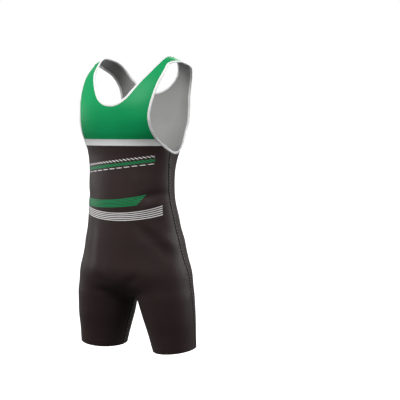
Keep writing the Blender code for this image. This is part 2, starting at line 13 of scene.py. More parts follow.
import bpy
import numpy as np
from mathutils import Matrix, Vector


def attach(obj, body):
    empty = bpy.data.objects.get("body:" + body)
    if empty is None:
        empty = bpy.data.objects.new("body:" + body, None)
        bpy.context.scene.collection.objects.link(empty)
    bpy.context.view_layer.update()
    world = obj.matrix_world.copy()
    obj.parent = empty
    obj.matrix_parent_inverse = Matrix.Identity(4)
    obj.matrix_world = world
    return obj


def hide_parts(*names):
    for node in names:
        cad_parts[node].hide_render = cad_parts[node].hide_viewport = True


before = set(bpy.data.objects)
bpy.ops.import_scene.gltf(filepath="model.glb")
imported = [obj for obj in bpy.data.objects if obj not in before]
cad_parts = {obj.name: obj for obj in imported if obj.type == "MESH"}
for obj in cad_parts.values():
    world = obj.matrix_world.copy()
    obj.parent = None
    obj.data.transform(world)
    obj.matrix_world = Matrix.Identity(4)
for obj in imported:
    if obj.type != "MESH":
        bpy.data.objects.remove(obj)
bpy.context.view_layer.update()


def table(columns, *rows):
    """A table's named columns, as arrays."""
    return dict(zip(columns, np.array(rows).T))


# Cloth, and how much smaller than the worn form it is cut, because it stretches.
SHELL = 0.0010
BINDING_WIDTH = 0.006
STRETCH_ACROSS = 1.15
STRETCH_ALONG = 1.05

# Heights of the straight seams.
BAND_TOP = {"front": -0.229, "back": -0.185}
BAND_BOTTOM = {"front": -0.247, "back": -0.203}

# The hem's plane at each leg: its height at the leg's centre, its rise outwards and backwards.
HEM_HEIGHT = -0.826
HEM_RISE_OUT = 0.10
HEM_RISE_BACK = 0.06

# Sections of the torso. Front and back are how far the centre lines lie from y = 0,
# widest_y is where the section is widest, and a fullness of 2 is an ellipse.
TORSO = table(
    ("height", "half_width", "widest_y", "front", "back", "front_fullness", "back_fullness"),
    (-0.660, 0.172, -0.008, 0.114, 0.100, 2.20, 2.20),
    (-0.600, 0.159, -0.009, 0.113, 0.097, 2.15, 2.15),
    (-0.550, 0.150, -0.009, 0.111, 0.095, 2.10, 2.10),
    (-0.500, 0.147, -0.010, 0.110, 0.088, 2.10, 2.10),
    (-0.450, 0.140, -0.014, 0.109, 0.076, 2.10, 2.10),
    (-0.400, 0.133, -0.022, 0.111, 0.063, 2.10, 2.10),
    (-0.350, 0.131, -0.025, 0.109, 0.066, 2.10, 2.10),
    (-0.310, 0.131, -0.025, 0.107, 0.074, 2.05, 2.20),
    (-0.270, 0.134, -0.025, 0.108, 0.082, 2.10, 2.70),
    (-0.240, 0.138, -0.023, 0.113, 0.090, 2.40, 3.30),
    (-0.210, 0.147, -0.020, 0.124, 0.098, 2.80, 3.60),
    (-0.180, 0.158, -0.017, 0.131, 0.106, 2.85, 4.20),
    (-0.140, 0.169, -0.011, 0.133, 0.111, 2.60, 4.60),
    (-0.090, 0.180, -0.001, 0.130, 0.112, 3.00, 4.60),
    (-0.030, 0.188, 0.013, 0.129, 0.111, 4.20, 4.40),
)

# Where the torso begins to close, and how roundly, at the shoulders and between the legs. The
# shoulders change from front to back over SHOULDER_TURN, and their top slopes down outwards.
SHOULDER_BASE_FRONT = -0.150
SHOULDER_BASE_BACK = -0.105
SHOULDER_ROUND_FRONT = 1.5
SHOULDER_ROUND_BACK = 2.3
SHOULDER_TURN = 0.06
SHOULDER_TOP = 0.001
SHOULDER_MIDDLE_X = 0.120
SHOULDER_SLOPE = 0.30
CROTCH_BASE = -0.585
CROTCH_DEPTH = 0.085
CROTCH_ROUND = 2.2
START_SOFTNESS = 0.010

# Sections of a leg: ellipses turned so that the long axis points outwards and forwards.
LEG = table(
    ("height", "centre_x", "centre_y", "long_half", "short_half"),
    (-0.86, 0.124, 0.014, 0.066, 0.060),
    (-0.82, 0.118, 0.011, 0.070, 0.064),
    (-0.78, 0.112, 0.009, 0.076, 0.069),
    (-0.74, 0.106, 0.006, 0.083, 0.075),
    (-0.70, 0.100, 0.003, 0.087, 0.080),
    (-0.66, 0.094, 0.000, 0.0895, 0.084),
    (-0.62, 0.087, 0.000, 0.0865, 0.083),
    (-0.56, 0.074, -0.004, 0.078, 0.078),
    (-0.50, 0.062, -0.006, 0.072, 0.072),
)
LEG_TURN = math.radians(-45.0)
LEG_TOP = -0.52
LEG_TOP_ROUND = 0.05

# The lengths that bring the fields to metres, and how softly they join.
TORSO_RADIUS = 0.12
LEG_RADIUS = 0.08
JOIN_SOFTNESS = 0.035

# The line inside the body that the panels are measured from moves out into the legs here.
CENTRE_SPLIT_TOP = -0.47
CENTRE_SPLIT_BOTTOM = -0.62

# The side seam's direction from the centre line, in degrees from straight ahead.
SIDE_SEAM = table(
    ("height", "turn"),
    (-0.84, 96.0), (-0.70, 92.0), (-0.58, 88.0), (-0.40, 85.0), (-0.276, 85.0),
)

# The finished edge of an armhole, from the shoulder forwards and round: the direction in degrees
# from straight ahead, seen from a line inside the chest, and the height.
ARMHOLE = table(
    ("turn", "height"),
    (93.0, -0.0150), (84.0, -0.0200), (73.5, -0.0400), (60.5, -0.0770),
    (54.4, -0.1060), (50.2, -0.1360), (48.2, -0.1660), (50.2, -0.1940),
    (57.8, -0.2240), (68.0, -0.2430), (80.0, -0.2580), (93.0, -0.2640),
    (106.0, -0.2580), (118.0, -0.2370), (126.0, -0.2080), (131.5, -0.1720),
    (134.0, -0.1350), (134.5, -0.1020), (131.5, -0.0680), (124.0, -0.0390),
    (110.0, -0.0205),
)
ARMHOLE_LINE_Y = -0.01

# The finished edge of the neckline: how far it has turned over the shoulder, in degrees from
# straight ahead about the shoulder line, and how far it lies from the middle.
NECKLINE = table(
    ("turn", "x"),
    (3.9, 0.000), (6.5, 0.022), (14.0, 0.040), (28.0, 0.056),
    (45.0, 0.0705), (63.0, 0.085), (82.0, 0.095), (98.0, 0.102),
    (114.0, 0.103), (131.6, 0.092), (144.2, 0.0775), (151.8, 0.058),
    (158.5, 0.030), (161.0, 0.000),
)
SHOULDER_LINE_Y = -0.03
SHOULDER_LINE_HEIGHT = -0.14
SHOULDER_SEAM_Y = 0.006

# Both edges are drawn as curves with this scale for their degrees.
METRES_PER_DEGREE = 0.0022

# For the front and the back: the sign of y, and the direction of the centre line and of the
# inseam in degrees from straight ahead.
FORWARD = {"front": -1.0, "back": 1.0}
CENTRE_TURN = {"front": 0.0, "back": 180.0}
INSEAM_TURN = {"front": -90.0, "back": 270.0}

# How far either way the crotch is looked for, how far above it its row ends at the side seam, and
# the share of a leg's length in which the inseam turns inwards.
CROTCH_SEARCH = 0.05
CROTCH_SIDE_LIFT = 0.004
INSEAM_SETTLES = 0.5

# How finely the panels are divided.
BODY_COLUMNS = 48
BODY_CORNER_COLUMN = {"front": 36, "back": 32}
TORSO_ROWS = 72
CROTCH_ROWS = 24
LEG_ROWS = 36
COMMON_ROW_HEIGHT = -0.340
ROWS_ABOVE_COMMON = 20
YOKE_COLUMNS = 28
YOKE_CENTRE_ROWS = 18
YOKE_NECK_ROWS = 56
BAND_ROWS = 6
CURVE_SAMPLES = 1440

# Steps of the searches, and lengths that are too small to matter.
ITERATIONS = 40
SETTLE_PASSES = 4
HEM_PASSES = 6
LONGEST_RAY = 0.30
PROBE = 0.0005
ON_MIDDLE_PLANE = 1e-7

# Points that a closed curve repeats past its ends, and the angle from which an edge is sharp.
LAP = 3
SHARP_ANGLE = math.radians(50.0)

# Soft folds: where each one starts and ends, its width, and its height, below zero for a trough.
FOLD_COLUMNS = ("x0", "z0", "x1", "z1", "width", "height")
FRONT_FOLDS = table(
    FOLD_COLUMNS,
    (0.050, -0.395, 0.150, -0.372, 0.011, -0.0038),
    (0.060, -0.425, 0.140, -0.398, 0.010, 0.0022),
    (0.045, -0.436, 0.165, -0.580, 0.013, -0.0046),
    (0.078, -0.436, 0.172, -0.556, 0.011, 0.0024),
    (-0.080, -0.430, -0.100, -0.640, 0.015, -0.0024),
    (-0.058, -0.420, -0.072, -0.640, 0.016, 0.0008),
    (-0.150, -0.380, -0.060, -0.402, 0.013, -0.0020),
    (0.010, -0.640, 0.085, -0.600, 0.011, -0.0026),
    (-0.010, -0.640, -0.090, -0.606, 0.011, -0.0028),
    (0.020, -0.668, 0.100, -0.655, 0.010, -0.0020),
    (-0.020, -0.668, -0.100, -0.652, 0.010, -0.0022),
    (0.075, -0.330, 0.078, -0.400, 0.010, -0.0008),
    (0.052, -0.270, 0.056, -0.345, 0.010, -0.0007),
    (0.120, -0.720, 0.140, -0.800, 0.014, -0.0010),
    (-0.110, -0.730, -0.135, -0.810, 0.014, -0.0010),
)
BACK_FOLDS = table(
    FOLD_COLUMNS,
    (0.010, -0.640, 0.110, -0.612, 0.012, -0.0030),
    (-0.010, -0.640, -0.115, -0.604, 0.012, -0.0034),
    (0.020, -0.660, 0.100, -0.668, 0.010, -0.0018),
    (-0.020, -0.660, -0.105, -0.655, 0.010, -0.0020),
    (0.000, -0.500, 0.000, -0.640, 0.012, -0.0026),
    (-0.150, -0.480, -0.080, -0.500, 0.012, -0.0014),
    (0.145, -0.470, 0.080, -0.505, 0.012, -0.0014),
    (-0.110, -0.385, -0.030, -0.400, 0.014, -0.0010),
    (0.110, -0.380, 0.020, -0.402, 0.014, -0.0012),
    (-0.100, -0.690, -0.135, -0.790, 0.014, -0.0010),
    (0.105, -0.700, 0.130, -0.800, 0.014, -0.0010),
)
FOLD_FADE = 0.45
FACING = 0.5

# The binding's section, a strip folded in two: distance from the seam into the opening, and
# height above the cloth. Then the spacing of its points, and where its stitches lie.
BINDING_SECTION = (
    (-0.0008, 0.0003), (0.0008, 0.0007), (0.0024, 0.0008), (0.0042, 0.0008),
    (0.0053, 0.0004), (0.0059, -0.0003), (0.0059, -0.0013), (0.0053, -0.0020),
    (0.0042, -0.0024), (0.0024, -0.0024), (0.0008, -0.0022), (-0.0008, -0.0016),
    (-0.0008, -0.0011), (0.0024, -0.0014), (0.0042, -0.0014), (0.0049, -0.0008),
    (0.0042, 0.0001), (0.0024, 0.0001), (-0.0008, 0.0001),
)
BINDING_STEP = 0.003
BINDING_STITCH_AWAY = 0.0014
BINDING_STITCH_PROUD = 0.0008
BINDING_STITCH_UNDER = -0.0025

# The flat seam's section: distance across it and height above the cloth.
SEAM_SECTION = (
    (-0.0031, -0.0002), (-0.0028, 0.0002), (-0.0015, 0.0005), (-0.0005, 0.00015),
    (0.0005, 0.00015), (0.0015, 0.0005), (0.0028, 0.0002), (0.0031, -0.0002),
    (0.0, -0.0005),
)

# Stitches: the pitch along their line, and one stitch's sizes.
FINE_STITCH = {"pitch": 0.0034, "half_length": 0.0014, "half_width": 0.00030, "height": 0.00035}
SEAM_STITCH = {"pitch": 0.0088, "half_length": 0.0024, "half_width": 0.00095, "height": 0.00075}
SEAM_STITCH_ACROSS = 0.0022
SEAM_STITCH_LIFT = 0.0004
FINE_STITCH_LIFT = 0.0001
BAND_STITCH_IN = 0.0018
HEM_STITCH_HEIGHTS = (0.0165, 0.0200)
STITCH_RINGS = ((-0.7, 0.75), (0.0, 1.0), (0.7, 0.75))
STITCH_SIDES = 5

# Colours of the cloths, the threads and the prints.
GREEN = (0.004, 0.325, 0.104)
BLACK = (0.0305, 0.0178, 0.0170)
PALE_INSIDE = (0.32, 0.32, 0.317)
WHITE = (0.92, 0.92, 0.92)
# The seam strip: black cloth, painted much darker than the body as the shade of a groove along the seam.
SEAM_BLACK_AND_GROOVE_SHADE = (0.0035, 0.0028, 0.0028)
THREADS = {"white": (0.80, 0.80, 0.80), "grey": (0.30, 0.285, 0.28), "black": (0.020, 0.018, 0.019)}
PRINT_COLOURS = {"green": (0.002, 0.30, 0.100), "white": (0.90, 0.88, 0.88)}

# Knits: the colour, how rough, how much sheen, the way from rib to rib and from course to course,
# the depth of the loops, and the shine.
KNIT_COLUMNS = ("colour", "roughness", "sheen", "wale", "course", "depth", "shine")
KNITS = {
    "green_satin_knit": (GREEN, 0.46, 0.02, 0.0009, 0.0007, 0.00004, 0.16),
    "white_knit": (WHITE, 0.60, 0.10, 0.0009, 0.0007, 0.00012, 0.26),
    "pale_inside": (PALE_INSIDE, 0.75, 0.10, 0.0009, 0.0007, 0.00018, 0.26),
    "black_knit_front": (BLACK, 0.50, 0.10, 0.0009, 0.0007, 0.00012, 0.26),
    "black_knit_back": (BLACK, 0.50, 0.10, 0.0009, 0.0007, 0.00012, 0.26),
    "binding_knit": (WHITE, 0.55, 0.10, 0.0012, 0.0010, 0.00016, 0.26),
    "seam_cloth_and_groove_shade": (SEAM_BLACK_AND_GROOVE_SHADE, 0.75, 0.02, 0.0009, 0.0007, 0.00012, 0.26),
}

# How a knit and a thread vary: the scale and detail of each noise, the darkest and lightest shade,
# the spread of the roughness, and the depths and strengths of the bumps.
CLOUDS = (18.0, 3.0)
GRAIN = (900.0, 1.0)
UNEVENNESS = (60.0, 2.0)
CLOUD_SHARE = 0.75
KNIT_DARKEST = 0.84
KNIT_LIGHTEST = 1.12
KNIT_ROUGHNESS_SPAN = 0.10
KNIT_SHEEN_ROUGHNESS = 0.35
RIB_SHARE = 0.7
LOOP_SWAY = 2.0
LOOP_STRENGTH = 0.4
UNEVEN_DEPTH = 0.0006
BUMP_STRENGTH = 0.5
THREAD_GRAIN = (1500.0, 1.0)
THREAD_DARKEST = 0.8
THREAD_ROUGHNESS = 0.55
THREAD_ROUGHNESS_SPAN = 0.1
THREAD_SHEEN = 0.1
THREAD_SHEEN_ROUGHNESS = 0.4
THREAD_DEPTH = 0.0001

# Printed stripes: parallel lines between two curves across the cloth, each a level, a slope and a
# bend, with the share of a line's pitch that is coloured, and its ends.
STRIPE_COLUMNS = ("colour", "top", "bottom", "lines", "duty", "left", "right", "right_lean")
STRIPES = {
    "front": (
        ("green", (-0.3955, 0.095, 0.75), (-0.4168, 0.07, 0.55), 6, 0.58, -0.118, 0.066, 0.026),
        ("white", (-0.4325, 0.018, 1.02), (-0.4545, 0.0054, 0.86), 5, 0.46, -0.138, 0.138, 0.0),
    ),
    "back": (
        ("green", (-0.3314, 0.010, -0.12), (-0.3607, -0.021, 0.47), 6, 0.58, -0.110, 0.006, 0.028),
        ("white", (-0.3825, -0.009, 1.06), (-0.4045, -0.040, 1.00), 5, 0.46, -0.111, 0.107, 0.0),
    ),
}

# Printed dashes: three rows that slope up across the cloth, each at its own drop below the first.
DASH_COLUMNS = ("colour", "drop", "half_height", "pitch", "duty")
DASHES = (
    ("white", 0.0, 0.0026, 0.0115, 0.42),
    ("green", 0.0110, 0.0042, 0.0115, 0.55),
    ("white", 0.0205, 0.0010, 0.0230, 0.70),
)
DASH_LEVEL = {"front": -0.2890, "back": -0.2500}
DASH_HALF_WIDTH = {"front": 0.120, "back": 0.108}
DASH_CENTRE = -0.005
DASH_SLOPE = 0.120
DASH_SLANT = 1.9

# How softly prints stop: their lines as a share of the pitch, a block of lines as a share of its
# height, and the ends and edges of rows in metres.
LINE_SOFTNESS = 0.06
BLOCK_SOFTNESS = 0.006
END_SOFTNESS = 0.0012
EDGE_SOFTNESS = 0.0008

# Camera: it stands level with the chest, and its lens, aim and shift put the suit where the
# photograph has it.
CAMERA_AZIMUTH = math.radians(32.0)
CAMERA_DISTANCE = 2.6
CAMERA_HEIGHT = -0.204
CAMERA_LENS = 81.4
CAMERA_TURN = math.radians(4.05)
CAMERA_TILT = math.radians(3.66)
CAMERA_SHIFT_DOWN = 0.03

# Lights: direction round the suit and height above its middle in degrees, distance, size, power
# and colour.
LIGHTS = {
    "key_light": (-8.0, 48.0, 3.2, 1.6, 80.0, (1.0, 0.995, 0.985)),
    "right_side_light": (-80.0, 8.0, 2.6, 1.2, 16.0, (0.98, 0.99, 1.0)),
    "left_side_light": (124.0, 10.0, 2.6, 1.2, 32.0, (0.98, 0.99, 1.0)),
    "back_light": (185.0, 32.0, 3.2, 1.6, 38.0, (1.0, 1.0, 1.0)),
}
SUIT_MIDDLE = (0.0, 0.0, -0.42)
WORLD_SHOWN = 1.0
WORLD_LIGHT_BELOW = 0.07
WORLD_LIGHT_ABOVE = 0.46
WORLD_LIGHT_SPAN = 0.7
FLOOR_GLOW = 1.0
FLOOR_ROUGHNESS = 0.9
FLOOR_NOISE = (0.4, 1.0)
FLOOR_SHADES = ((0.90, 0.90, 0.90), (0.93, 0.93, 0.93))
FLOOR_HEIGHT = -1.70
FLOOR_REACH = 60.0


def smooth(knots, values, x):
    """Value at x on a smooth curve through (knots, values), level beyond its ends."""
    x = np.clip(x, knots[0], knots[-1])
    slopes = np.gradient(values, knots)
    i = np.clip(np.searchsorted(knots, x) - 1, 0, len(knots) - 2)
    step = knots[i + 1] - knots[i]
    t = (x - knots[i]) / step
    start = (1 + 2 * t) * (1 - t) ** 2 * values[i] + t * (1 - t) ** 2 * step * slopes[i]
    end = t * t * (3 - 2 * t) * values[i + 1] + t * t * (t - 1) * step * slopes[i + 1]
    return start + end


def ease(t):
    """From 0 to 1 with level ends: t squared times (3 - 2 t)."""
    t = np.clip(t, 0.0, 1.0)
    return t * t * (3 - 2 * t)


def xyz(x, y, z):
    """Points from their coordinates, which are numbers or arrays."""
    return np.stack(np.broadcast_arrays(x, y, z), axis=-1)


def unit(vectors):
    """Vectors brought to length one."""
    return vectors / np.linalg.norm(vectors, axis=-1, keepdims=True)


def tangents(line, closed):
    """Unit directions along a line of points."""
    if closed:
        return unit(np.roll(line, -1, axis=0) - np.roll(line, 1, axis=0))
    return unit(np.gradient(line, axis=0))


def looped(line):
    """A closed line with its first point once more at its end."""
    return np.vstack([line, line[:1]])


def torso_value(name, z):
    """A column of the torso's table at given heights."""
    return smooth(TORSO["height"], TORSO[name], z)


def leg_value(name, z):
    """A column of the leg's table at given heights."""
    return smooth(LEG["height"], LEG[name], z)


def softly_above(height):
    """Heights above zero with a rounded start: half of h + sqrt(h^2 + s^2), less an eighth of s."""
    return np.maximum((height + np.sqrt(height**2 + START_SOFTNESS**2)) / 2 - START_SOFTNESS / 8, 0)


def torso_field(x, y, z):
    """Below zero inside the torso: (|x|/w)^n + (|y|/d)^n = 1, closed at the shoulders and the crotch."""
    widest = torso_value("widest_y", z)
    ahead = y < widest
    depth = np.where(ahead, torso_value("front", z) + widest, torso_value("back", z) - widest)
    wide = np.abs(x) / torso_value("half_width", z)
    deep = np.abs(y - widest) / depth
    share = ease((y - widest + SHOULDER_TURN) / (2 * SHOULDER_TURN))
    fullness = (1 - share) * torso_value("front_fullness", z) + share * torso_value("back_fullness", z)
    base = SHOULDER_BASE_FRONT + share * (SHOULDER_BASE_BACK - SHOULDER_BASE_FRONT)
    roundness = SHOULDER_ROUND_FRONT + share * (SHOULDER_ROUND_BACK - SHOULDER_ROUND_FRONT)
    top = SHOULDER_TOP + SHOULDER_SLOPE * (SHOULDER_MIDDLE_X - np.abs(x))
    up = softly_above(z - base) / (top - base)
    down = softly_above(CROTCH_BASE - z) / CROTCH_DEPTH
    arch = (deep**roundness + up**roundness) ** (1 / roundness)
    closed_up = (wide**fullness + arch**fullness) ** (1 / fullness)
    section = (wide**fullness + deep**fullness) ** (1 / fullness)
    closed_down = (section**CROTCH_ROUND + down**CROTCH_ROUND) ** (1 / CROTCH_ROUND)
    return (np.where(z > CROTCH_BASE, closed_up, closed_down) - 1) * TORSO_RADIUS


def leg_field(x, y, z):
    """Below zero inside the left leg: turned ellipses round a slanting line."""
    across = x - leg_value("centre_x", z)
    along = y - leg_value("centre_y", z)
    long_way = (across * math.cos(LEG_TURN) + along * math.sin(LEG_TURN)) / leg_value("long_half", z)
    short_way = (along * math.cos(LEG_TURN) - across * math.sin(LEG_TURN)) / leg_value("short_half", z)
    up = np.maximum(z - LEG_TOP, 0) / LEG_TOP_ROUND
    return (np.sqrt(long_way**2 + short_way**2 + up**2) - 1) * LEG_RADIUS


def joined(first, second):
    """The smaller of two fields, rounded where they are nearly equal."""
    near = np.maximum(JOIN_SOFTNESS - np.abs(first - second), 0) / JOIN_SOFTNESS
    return np.minimum(first, second) - near**2 * JOIN_SOFTNESS / 4


def figure(points):
    """The field of the whole figure, below zero inside."""
    x, y, z = points[..., 0], points[..., 1], points[..., 2]
    legs = joined(leg_field(x, y, z), leg_field(-x, y, z))
    return joined(torso_field(x, y, z), legs)


def slope_of_figure(points):
    """The field's gradient, by central differences."""
    parts = []
    for axis in range(3):
        step = np.zeros(3)
        step[axis] = PROBE
        parts.append((figure(points + step) - figure(points - step)) / (2 * PROBE))
    return np.stack(parts, axis=-1)


def outward(points):
    """Unit normals of the figure, kept in the plane x = 0 for points on it."""
    normals = slope_of_figure(points)
    normals[..., 0] = np.where(np.abs(points[..., 0]) < ON_MIDDLE_PLANE, 0.0, normals[..., 0])
    return unit(normals)


def hit(origins, directions):
    """Where rays from inside the figure leave it, by halving the span, on the left side of x = 0."""
    origins, directions = np.broadcast_arrays(origins, directions)
    near = np.zeros(origins.shape[:-1])
    inwards = np.maximum(-directions[..., 0], ON_MIDDLE_PLANE)
    to_plane = np.minimum(LONGEST_RAY, origins[..., 0] / inwards)
    far = np.where(directions[..., 0] < -ON_MIDDLE_PLANE, to_plane, LONGEST_RAY)
    for _ in range(ITERATIONS):
        middle = (near + far) / 2
        inside = figure(origins + middle[..., None] * directions) < 0
        near = np.where(inside, middle, near)
        far = np.where(inside, far, middle)
    return origins + near[..., None] * directions


def settle(points):
    """Moves points that lie near the figure's surface onto it."""
    for _ in range(SETTLE_PASSES):
        slope = slope_of_figure(points)
        step = figure(points) / np.sum(slope**2, axis=-1)
        points = points - step[..., None] * slope
    return points


def flat_turn(degrees):
    """Level directions, from straight ahead (-Y) through the left side (+X) to the back."""
    angle = np.radians(degrees)
    return xyz(np.sin(angle), -np.cos(angle), 0.0)


def centre_line(z):
    """Points inside the body: on the middle plane in the torso, in the leg's middle below."""
    share = ease((CENTRE_SPLIT_TOP - z) / (CENTRE_SPLIT_TOP - CENTRE_SPLIT_BOTTOM))
    x = share * leg_value("centre_x", z)
    y = (1 - share) * torso_value("widest_y", z) + share * leg_value("centre_y", z)
    return xyz(x, y, z)


def turn_to(points):
    """Direction in degrees of each point from the centre line at its height."""
    offset = points - centre_line(points[..., 2])
    return np.degrees(np.arctan2(offset[..., 0], -offset[..., 1]))


def lengths_along(line):
    """Distance along a line of points, from its first."""
    return np.concatenate([[0.0], np.cumsum(np.linalg.norm(np.diff(line, axis=0), axis=1))])


def closed_curve(points, count):
    """A smooth closed curve through points, as evenly spaced samples."""
    around = np.vstack([points[-LAP:], points, points[:LAP + 1]])
    lengths = lengths_along(around)
    samples = np.linspace(lengths[LAP], lengths[LAP + len(points)], count, endpoint=False)
    return np.stack([smooth(lengths, around[:, k], samples) for k in range(points.shape[1])], axis=-1)


def read_along(lengths, values, at):
    """Values given at lengths along a line, read at other lengths."""
    return np.stack([np.interp(at, lengths, values[:, k]) for k in range(3)], axis=-1)


def spaced(curve, count):
    """Evenly spaced points along a curve of samples, both ends kept."""
    lengths = lengths_along(curve)
    return read_along(lengths, curve, np.linspace(0.0, lengths[-1], count))


def move_into_cloth(edge):
    """A closed finished edge moved along the surface into the cloth, by the binding's width."""
    return settle(edge - BINDING_WIDTH * np.cross(outward(edge), tangents(edge, True)))


def armhole_seam():
    """The left armhole's seam: drawn round the chest, cast outwards, moved in by the binding."""
    drawn = np.stack([ARMHOLE["turn"] * METRES_PER_DEGREE, ARMHOLE["height"]], axis=-1)
    loop = closed_curve(drawn, CURVE_SAMPLES)
    edge = hit(xyz(0.0, ARMHOLE_LINE_Y, loop[:, 1]), flat_turn(loop[:, 0] / METRES_PER_DEGREE))
    return move_into_cloth(edge)


def over_shoulder(turn, x):
    """Points of the figure met from the shoulder line, turning from ahead over the top."""
    angle = np.radians(turn)
    return hit(xyz(x, SHOULDER_LINE_Y, SHOULDER_LINE_HEIGHT), xyz(0.0, -np.cos(angle), np.sin(angle)))


def neck_seam():
    """The neckline's seam, all round, starting and ending at the front centre."""
    left = np.stack([NECKLINE["turn"] * METRES_PER_DEGREE, NECKLINE["x"]], axis=-1)
    right = (left * [1.0, -1.0])[-2:0:-1]
    loop = closed_curve(np.vstack([left, right]), CURVE_SAMPLES)
    edge = over_shoulder(loop[:, 0] / METRES_PER_DEGREE, loop[:, 1])
    return move_into_cloth(edge)


def side_seam_turn(z):
    """The side seam's direction from the centre line at given heights."""
    return smooth(SIDE_SEAM["height"], SIDE_SEAM["turn"], z)


def shoulder_index(curve):
    """Which point of a curve lies at the shoulder seam, above the arm."""
    off = np.abs(curve[:, 1] - SHOULDER_SEAM_Y)
    return int(np.argmin(np.where(curve[:, 2] > SHOULDER_LINE_HEIGHT, off, np.inf)))


def split_armhole(seam):
    """The seam from the side seam up to the shoulder, on the front and on the back."""
    off = np.abs(turn_to(seam) - side_seam_turn(seam[:, 2]))
    under_arm = int(np.argmin(np.where(seam[:, 2] < SHOULDER_LINE_HEIGHT, off, np.inf)))
    seam = np.roll(seam, -under_arm, axis=0)
    top = shoulder_index(seam)
    back = seam[: top + 1]
    front = np.vstack([seam[top:], seam[:1]])[::-1]
    return {"front": front, "back": back}


def split_neck(seam):
    """The left half of the neck seam from each centre up to the shoulder."""
    half = seam[seam[:, 0] > 0]
    half = half[np.argsort(np.arctan2(half[:, 2] - SHOULDER_LINE_HEIGHT, SHOULDER_LINE_Y - half[:, 1]))]
    centres = half[[0, -1]] * [0.0, 1.0, 1.0]
    half = np.vstack([settle(centres[:1]), half, settle(centres[1:])])
    half[[0, -1], 0] = 0.0
    top = shoulder_index(half)
    return {"front": half[: top + 1], "back": half[top:][::-1]}


def at_height(curve, z):
    """The point where a rising curve reaches a height."""
    order = np.argsort(curve[:, 2])
    return np.array([np.interp(z, curve[order, 2], curve[order, k]) for k in range(2)] + [z])


def above(curve, z):
    """A rising curve from a height on."""
    return np.vstack([at_height(curve, z)[None], curve[curve[:, 2] > z + PROBE]])


def panel_grid(z, turns):
    """Points of the figure at given heights and directions from the centre line."""
    return hit(centre_line(z), flat_turn(turns))


def crotch_point():
    """The lowest point of the figure's middle plane, between the legs."""
    y = np.linspace(-CROTCH_SEARCH, CROTCH_SEARCH, CURVE_SAMPLES)
    under = hit(xyz(0.0, y, CROTCH_BASE), [0.0, 0.0, -1.0])
    return under[int(np.argmin(under[:, 2]))]


def yoke(side, neck, armhole):
    """Half a yoke: rows from the centre line and the neckline, straight across to the armhole."""
    bottom = BAND_TOP[side]
    centre_z = np.linspace(bottom, neck[0, 2], YOKE_CENTRE_ROWS + 1)[:-1]
    centre = hit(xyz(0.0, SHOULDER_LINE_Y, centre_z), [0.0, FORWARD[side], 0.0])
    inner = np.vstack([centre, spaced(neck, YOKE_NECK_ROWS + 1)])
    outer = spaced(above(armhole, bottom), len(inner))
    share = np.linspace(0.0, 1.0, YOKE_COLUMNS + 1)[None, :, None]
    chord = inner[:, None] * (1 - share) + outer[:, None] * share
    origins = xyz(chord[..., 0], SHOULDER_LINE_Y, np.minimum(chord[..., 2], SHOULDER_LINE_HEIGHT))
    grid = hit(origins, unit(chord - origins))
    grid[-1] = hit(xyz(grid[-1, :, 0], SHOULDER_SEAM_Y, SHOULDER_LINE_HEIGHT), [0.0, 0.0, 1.0])
    grid[: YOKE_CENTRE_ROWS + 1, 0, 0] = 0.0
    return grid


def band(side, armhole):
    """Half a level band from the centre line to the armhole."""
    heights = np.linspace(BAND_TOP[side], BAND_BOTTOM[side], BAND_ROWS + 1)
    start = CENTRE_TURN[side]
    ends = np.array([turn_to(at_height(armhole, z)) for z in heights])
    share = np.linspace(0.0, 1.0, BODY_CORNER_COLUMN[side] + 1)
    turns = start + (ends[:, None] - start) * share
    grid = panel_grid(np.broadcast_to(heights[:, None], turns.shape), turns)
    grid[:, 0, 0] = 0.0
    return grid


def body_shares(side, armhole, top):
    """A body panel's columns as shares of its width, one of them at the armhole's corner."""
    start = CENTRE_TURN[side]
    end = side_seam_turn(armhole[0, 2])
    corner = BODY_CORNER_COLUMN[side]
    under_arm = np.vstack([armhole[armhole[:, 2] < top], at_height(armhole, top)[None]])[::-1]
    to_side = (turn_to(spaced(under_arm, BODY_COLUMNS - corner + 1)) - start) / (end - start)
    to_side[-1] = 1.0
    return np.concatenate([np.linspace(0.0, to_side[0], corner + 1), to_side[1:]])


def body_top(side, armhole, top, share):
    """Heights of a body panel's upper edge: level below the band, then down along the armhole."""
    start = CENTRE_TURN[side]
    turns = start + (side_seam_turn(armhole[0, 2]) - start) * share
    under_arm = armhole[armhole[:, 2] < top]
    under_turns = turn_to(under_arm)
    order = np.argsort(under_turns)
    heights = np.interp(turns, under_turns[order], under_arm[order, 2])
    heights[: BODY_CORNER_COLUMN[side] + 1] = top
    return heights


def crotch_line(side, crotch):
    """Points of the middle plane that swing from ahead or behind down to the crotch."""
    swing = np.radians(np.linspace(0.0, 90.0, CROTCH_ROWS + 1)[1:])
    directions = xyz(0.0, FORWARD[side] * np.cos(swing), -np.sin(swing))
    line = hit([0.0, crotch[1], CROTCH_BASE], directions)
    line[-1] = settle(line[-1:])[0]
    line[:, 0] = 0.0
    return line


def hem_heights(inseam, share):
    """Heights of the hem at a panel's columns, on the hem's sloping plane."""
    middle = centre_line(np.array(HEM_HEIGHT))
    heights = np.full(len(share), HEM_HEIGHT)
    for _ in range(HEM_PASSES):
        turns = inseam + (side_seam_turn(heights[-1:]) - inseam) * share
        offset = panel_grid(heights, turns) - middle
        heights = HEM_HEIGHT + HEM_RISE_OUT * offset[:, 0] + HEM_RISE_BACK * offset[:, 1]
    return heights


def panel_rows(z, first, share):
    """Rows of a body panel at given heights, from their first directions to the side seam."""
    last = side_seam_turn(z[:, -1])
    return panel_grid(z, first[:, None] + (last - first)[:, None] * share)


